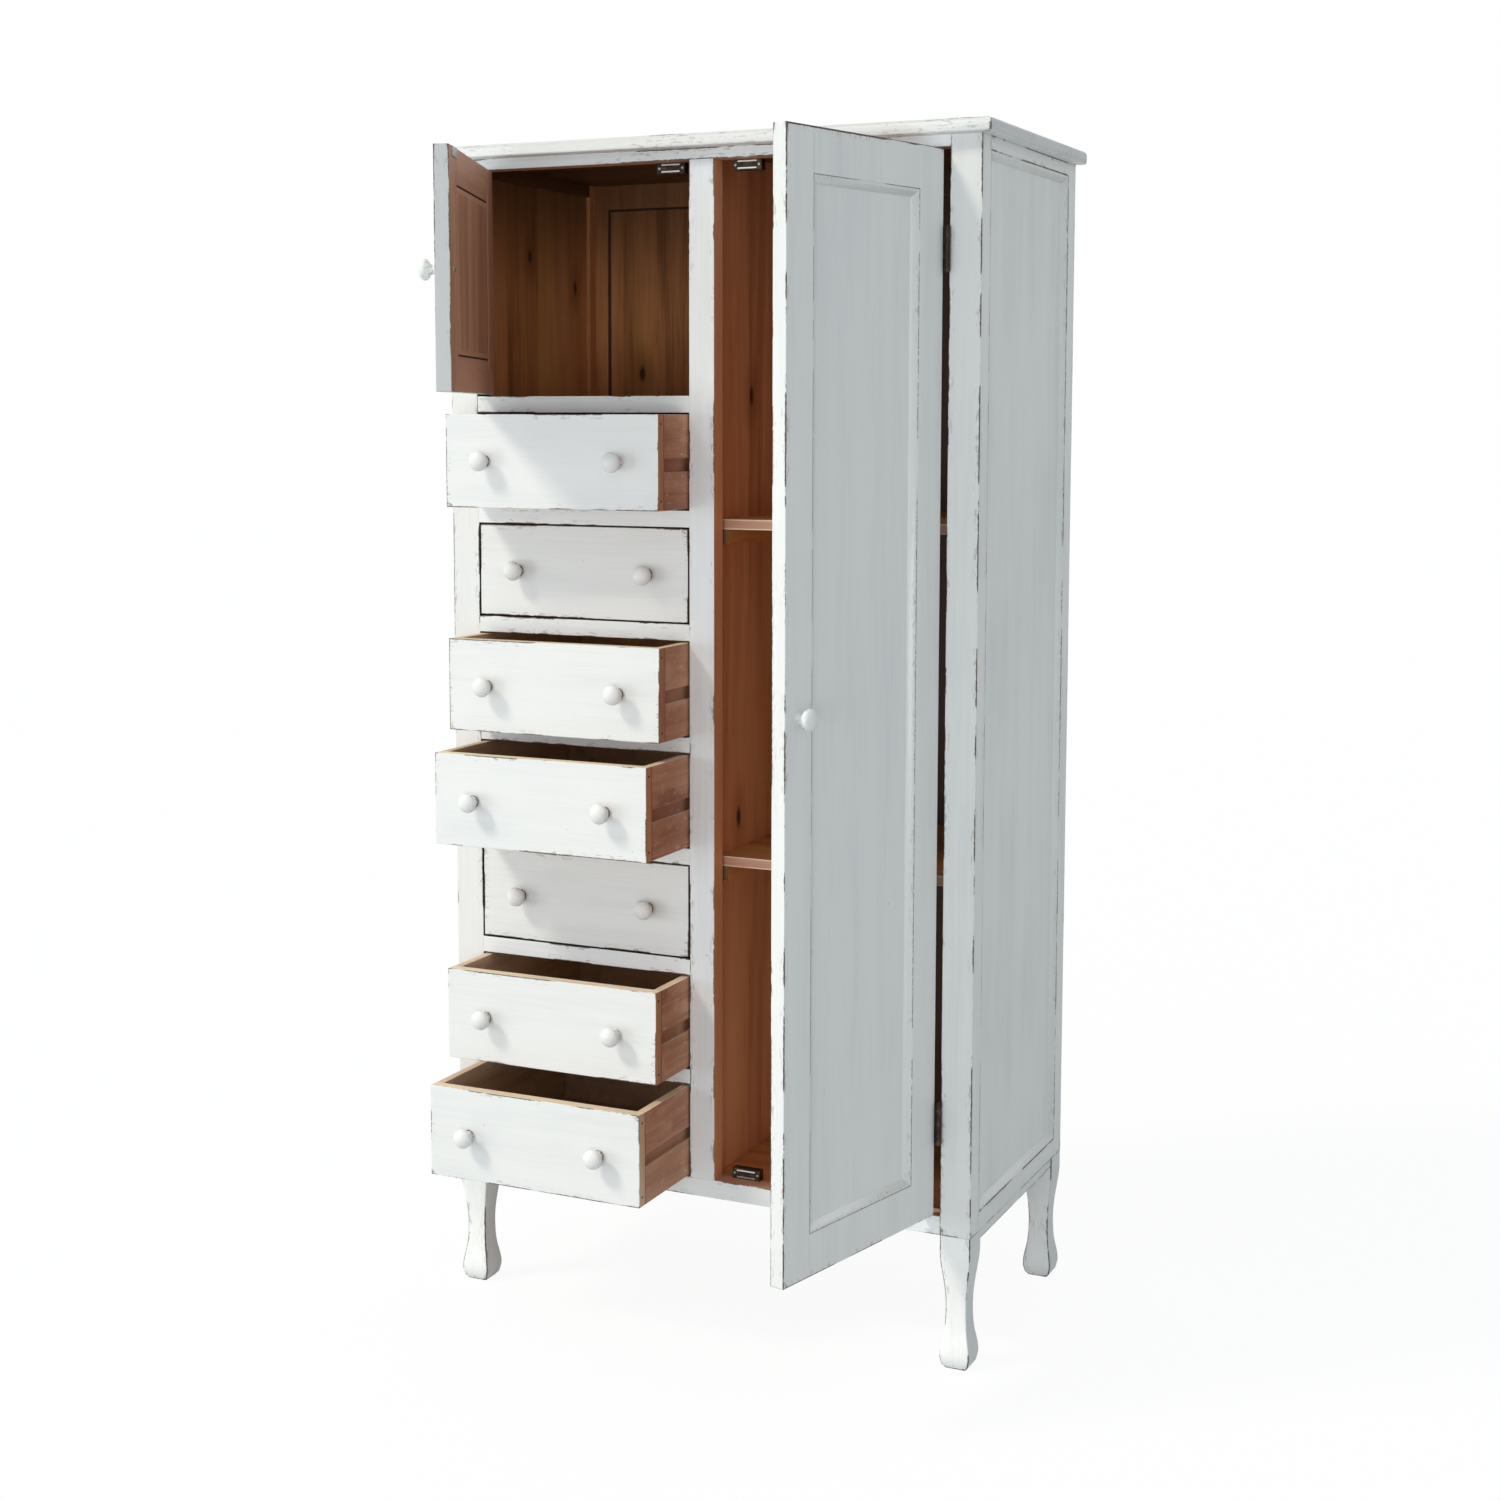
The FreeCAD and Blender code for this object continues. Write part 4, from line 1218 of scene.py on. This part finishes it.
def make_fasteners(bronze, nickel):
    screws = [fastener_head(*size) for size in (KNOB_SCREW, PLATE_SCREW, LEAF_SCREW)]
    knob_screw, plate_screw, leaf_screw = screws
    nail = fastener_head(*NAIL, slotted=False)
    for body, strikes, _ in DOORS:
        knob = centre_of(solid_boxes(body + "_knob")[0])
        seats = [((knob.x, door_corners(body)[1].y, knob.z), BACK)]
        fasten(body + "_knob_screw", knob_screw, seats, nickel, body)
        seats = [((x, high.y, (low.z + high.z) / 2), BACK) for low, high in solid_boxes(strikes)
                 for x in (low.x + STRIKE_INSET, high.x - STRIKE_INSET)]
        fasten(body + "_strike_screws", plate_screw, seats, nickel, body)
    for body, _, side in DOORS:
        low, high = door_corners(body)
        x = (high if side > 0 else low).x + side * LEAF_THICKNESS
        seats = [((x, low.y + LEAF_DEPTH, z), (side, 0, 0))
                 for low, high in solid_boxes(body + "_hinge_leaves")
                 for z in (low.z + LEAF_INSET, high.z - LEAF_INSET)]
        fasten(body + "_hinge_screws", leaf_screw, seats, bronze, body)
    catches = [box for box in solid_boxes("magnetic_catches") if box[1].z - box[0].z > CATCH_HEIGHT]
    seats = [((x, low.y, (low.z + high.z) / 2), FRONT)
             for low, high in catches for x in (low.x + CATCH_INSET, high.x - CATCH_INSET)]
    fasten("catch_screws", plate_screw, seats, nickel, body_of_node["magnetic_catches"])
    for drawer in drawers:
        low, high = solid_boxes(drawer + "_front")[0]
        seats = [((x, low.y + NAIL_DEPTH, z), (way, 0, 0))
                 for x, way in ((low.x, -1), (high.x, 1)) for z in (low.z + NAIL_INSET, high.z - NAIL_INSET)]
        fasten(drawer + "_nails", nail, seats, bronze, drawer)
        knobs = [centre_of(box) for box in solid_boxes(drawer + "_knobs")]
        seats = [((knob.x, high.y, knob.z), BACK) for knob in knobs]
        fasten(drawer + "_knob_screws", knob_screw, seats, nickel, drawer)
    for head in (*screws, nail):
        only(head)
        bpy.ops.object.delete()


knob_paint = worn_paint("knob_paint", Y, rub=2.6)
door_knob_paint = worn_paint("door_knob_paint", Y, rub=0.4)
make_case()
for door, _, _ in DOORS:
    make_door(door)
make_drawers()
make_metalwork()


# Floor, light and camera

def make_floor():
    """A pale floor that looks nearly white and keeps the cabinet's shadow."""
    deselect()
    bpy.ops.mesh.primitive_plane_add(size=FLOOR_SIZE)
    floor = active()
    floor.name = "floor"
    finish = Finish("pale_floor", Base_Color=FLOOR_GREY, Roughness=0.9)
    grey = Socket(finish, finish.shader.outputs[0])
    glow = finish.node("ShaderNodeEmission", None, {"Color": WHITE, "Strength": FLOOR_WHITE})
    finish.show(finish.white_to_view() * FLOOR_WHITE_SHARE, grey, glow, "Material Output")
    floor.data.materials.append(finish.material)


def make_world():
    world = bpy.data.worlds.new("soft_room")
    bpy.context.scene.world = world
    world.use_nodes = True
    room = NodeTree(world.node_tree)
    sky = room.node("ShaderNodeBackground", None, {"Color": SKY, "Strength": SKY_STRENGTH})
    white = room.node("ShaderNodeBackground", None, {"Color": WHITE, "Strength": 1.0})
    room.show(room.white_to_view(), sky, white, "World Output")


def add_lamp(kind, name, place, towards, energy, colour):
    bpy.ops.object.light_add(type=kind, location=place)
    lamp = active()
    lamp.name = name
    lamp.rotation_euler = towards.to_track_quat("-Z", "Y").to_euler()
    lamp.data.energy = energy
    lamp.data.color = colour
    return lamp.data


def make_panel_light(name, angle, distance, height, size, energy):
    """A wide soft panel that faces the cabinet, from the right at angles above zero."""
    turn = math.radians(angle)
    place = Vector((distance * math.sin(turn), -distance * math.cos(turn), height))
    lamp = add_lamp("AREA", name, place, Vector(PANELS_FACE) - place, energy, PANEL_COLOUR)
    lamp.shape = "RECTANGLE"
    lamp.size, lamp.size_y = size


def make_camera():
    """Stands right of the cabinet, above its middle, with the picture plane shifted down a little."""
    bpy.ops.object.camera_add(location=CAMERA_PLACE)
    camera = active()
    yaw, pitch, roll = (math.radians(angle) for angle in (YAW, PITCH, ROLL))
    turn = Matrix.Rotation(yaw, 4, "Z") @ Matrix.Rotation(math.pi / 2 + pitch, 4, "X")
    camera.rotation_euler = (turn @ Matrix.Rotation(roll, 4, "Z")).to_euler()
    camera.data.sensor_width = SENSOR
    camera.data.lens = LENS
    camera.data.shift_x = SHIFT_RIGHT
    camera.data.shift_y = SHIFT_UP
    bpy.context.scene.camera = camera


make_floor()
make_world()
key_light = add_lamp("SUN", "key_light", SUN_PLACE, Vector(SUN_TOWARDS), SUN_STRENGTH, SUN_COLOUR)
key_light.angle = SUN_WIDTH
make_panel_light("left_window", *LEFT_WINDOW)
make_panel_light("front_fill", *FRONT_FILL)
make_camera()
bpy.context.scene.view_settings.view_transform = "Standard"
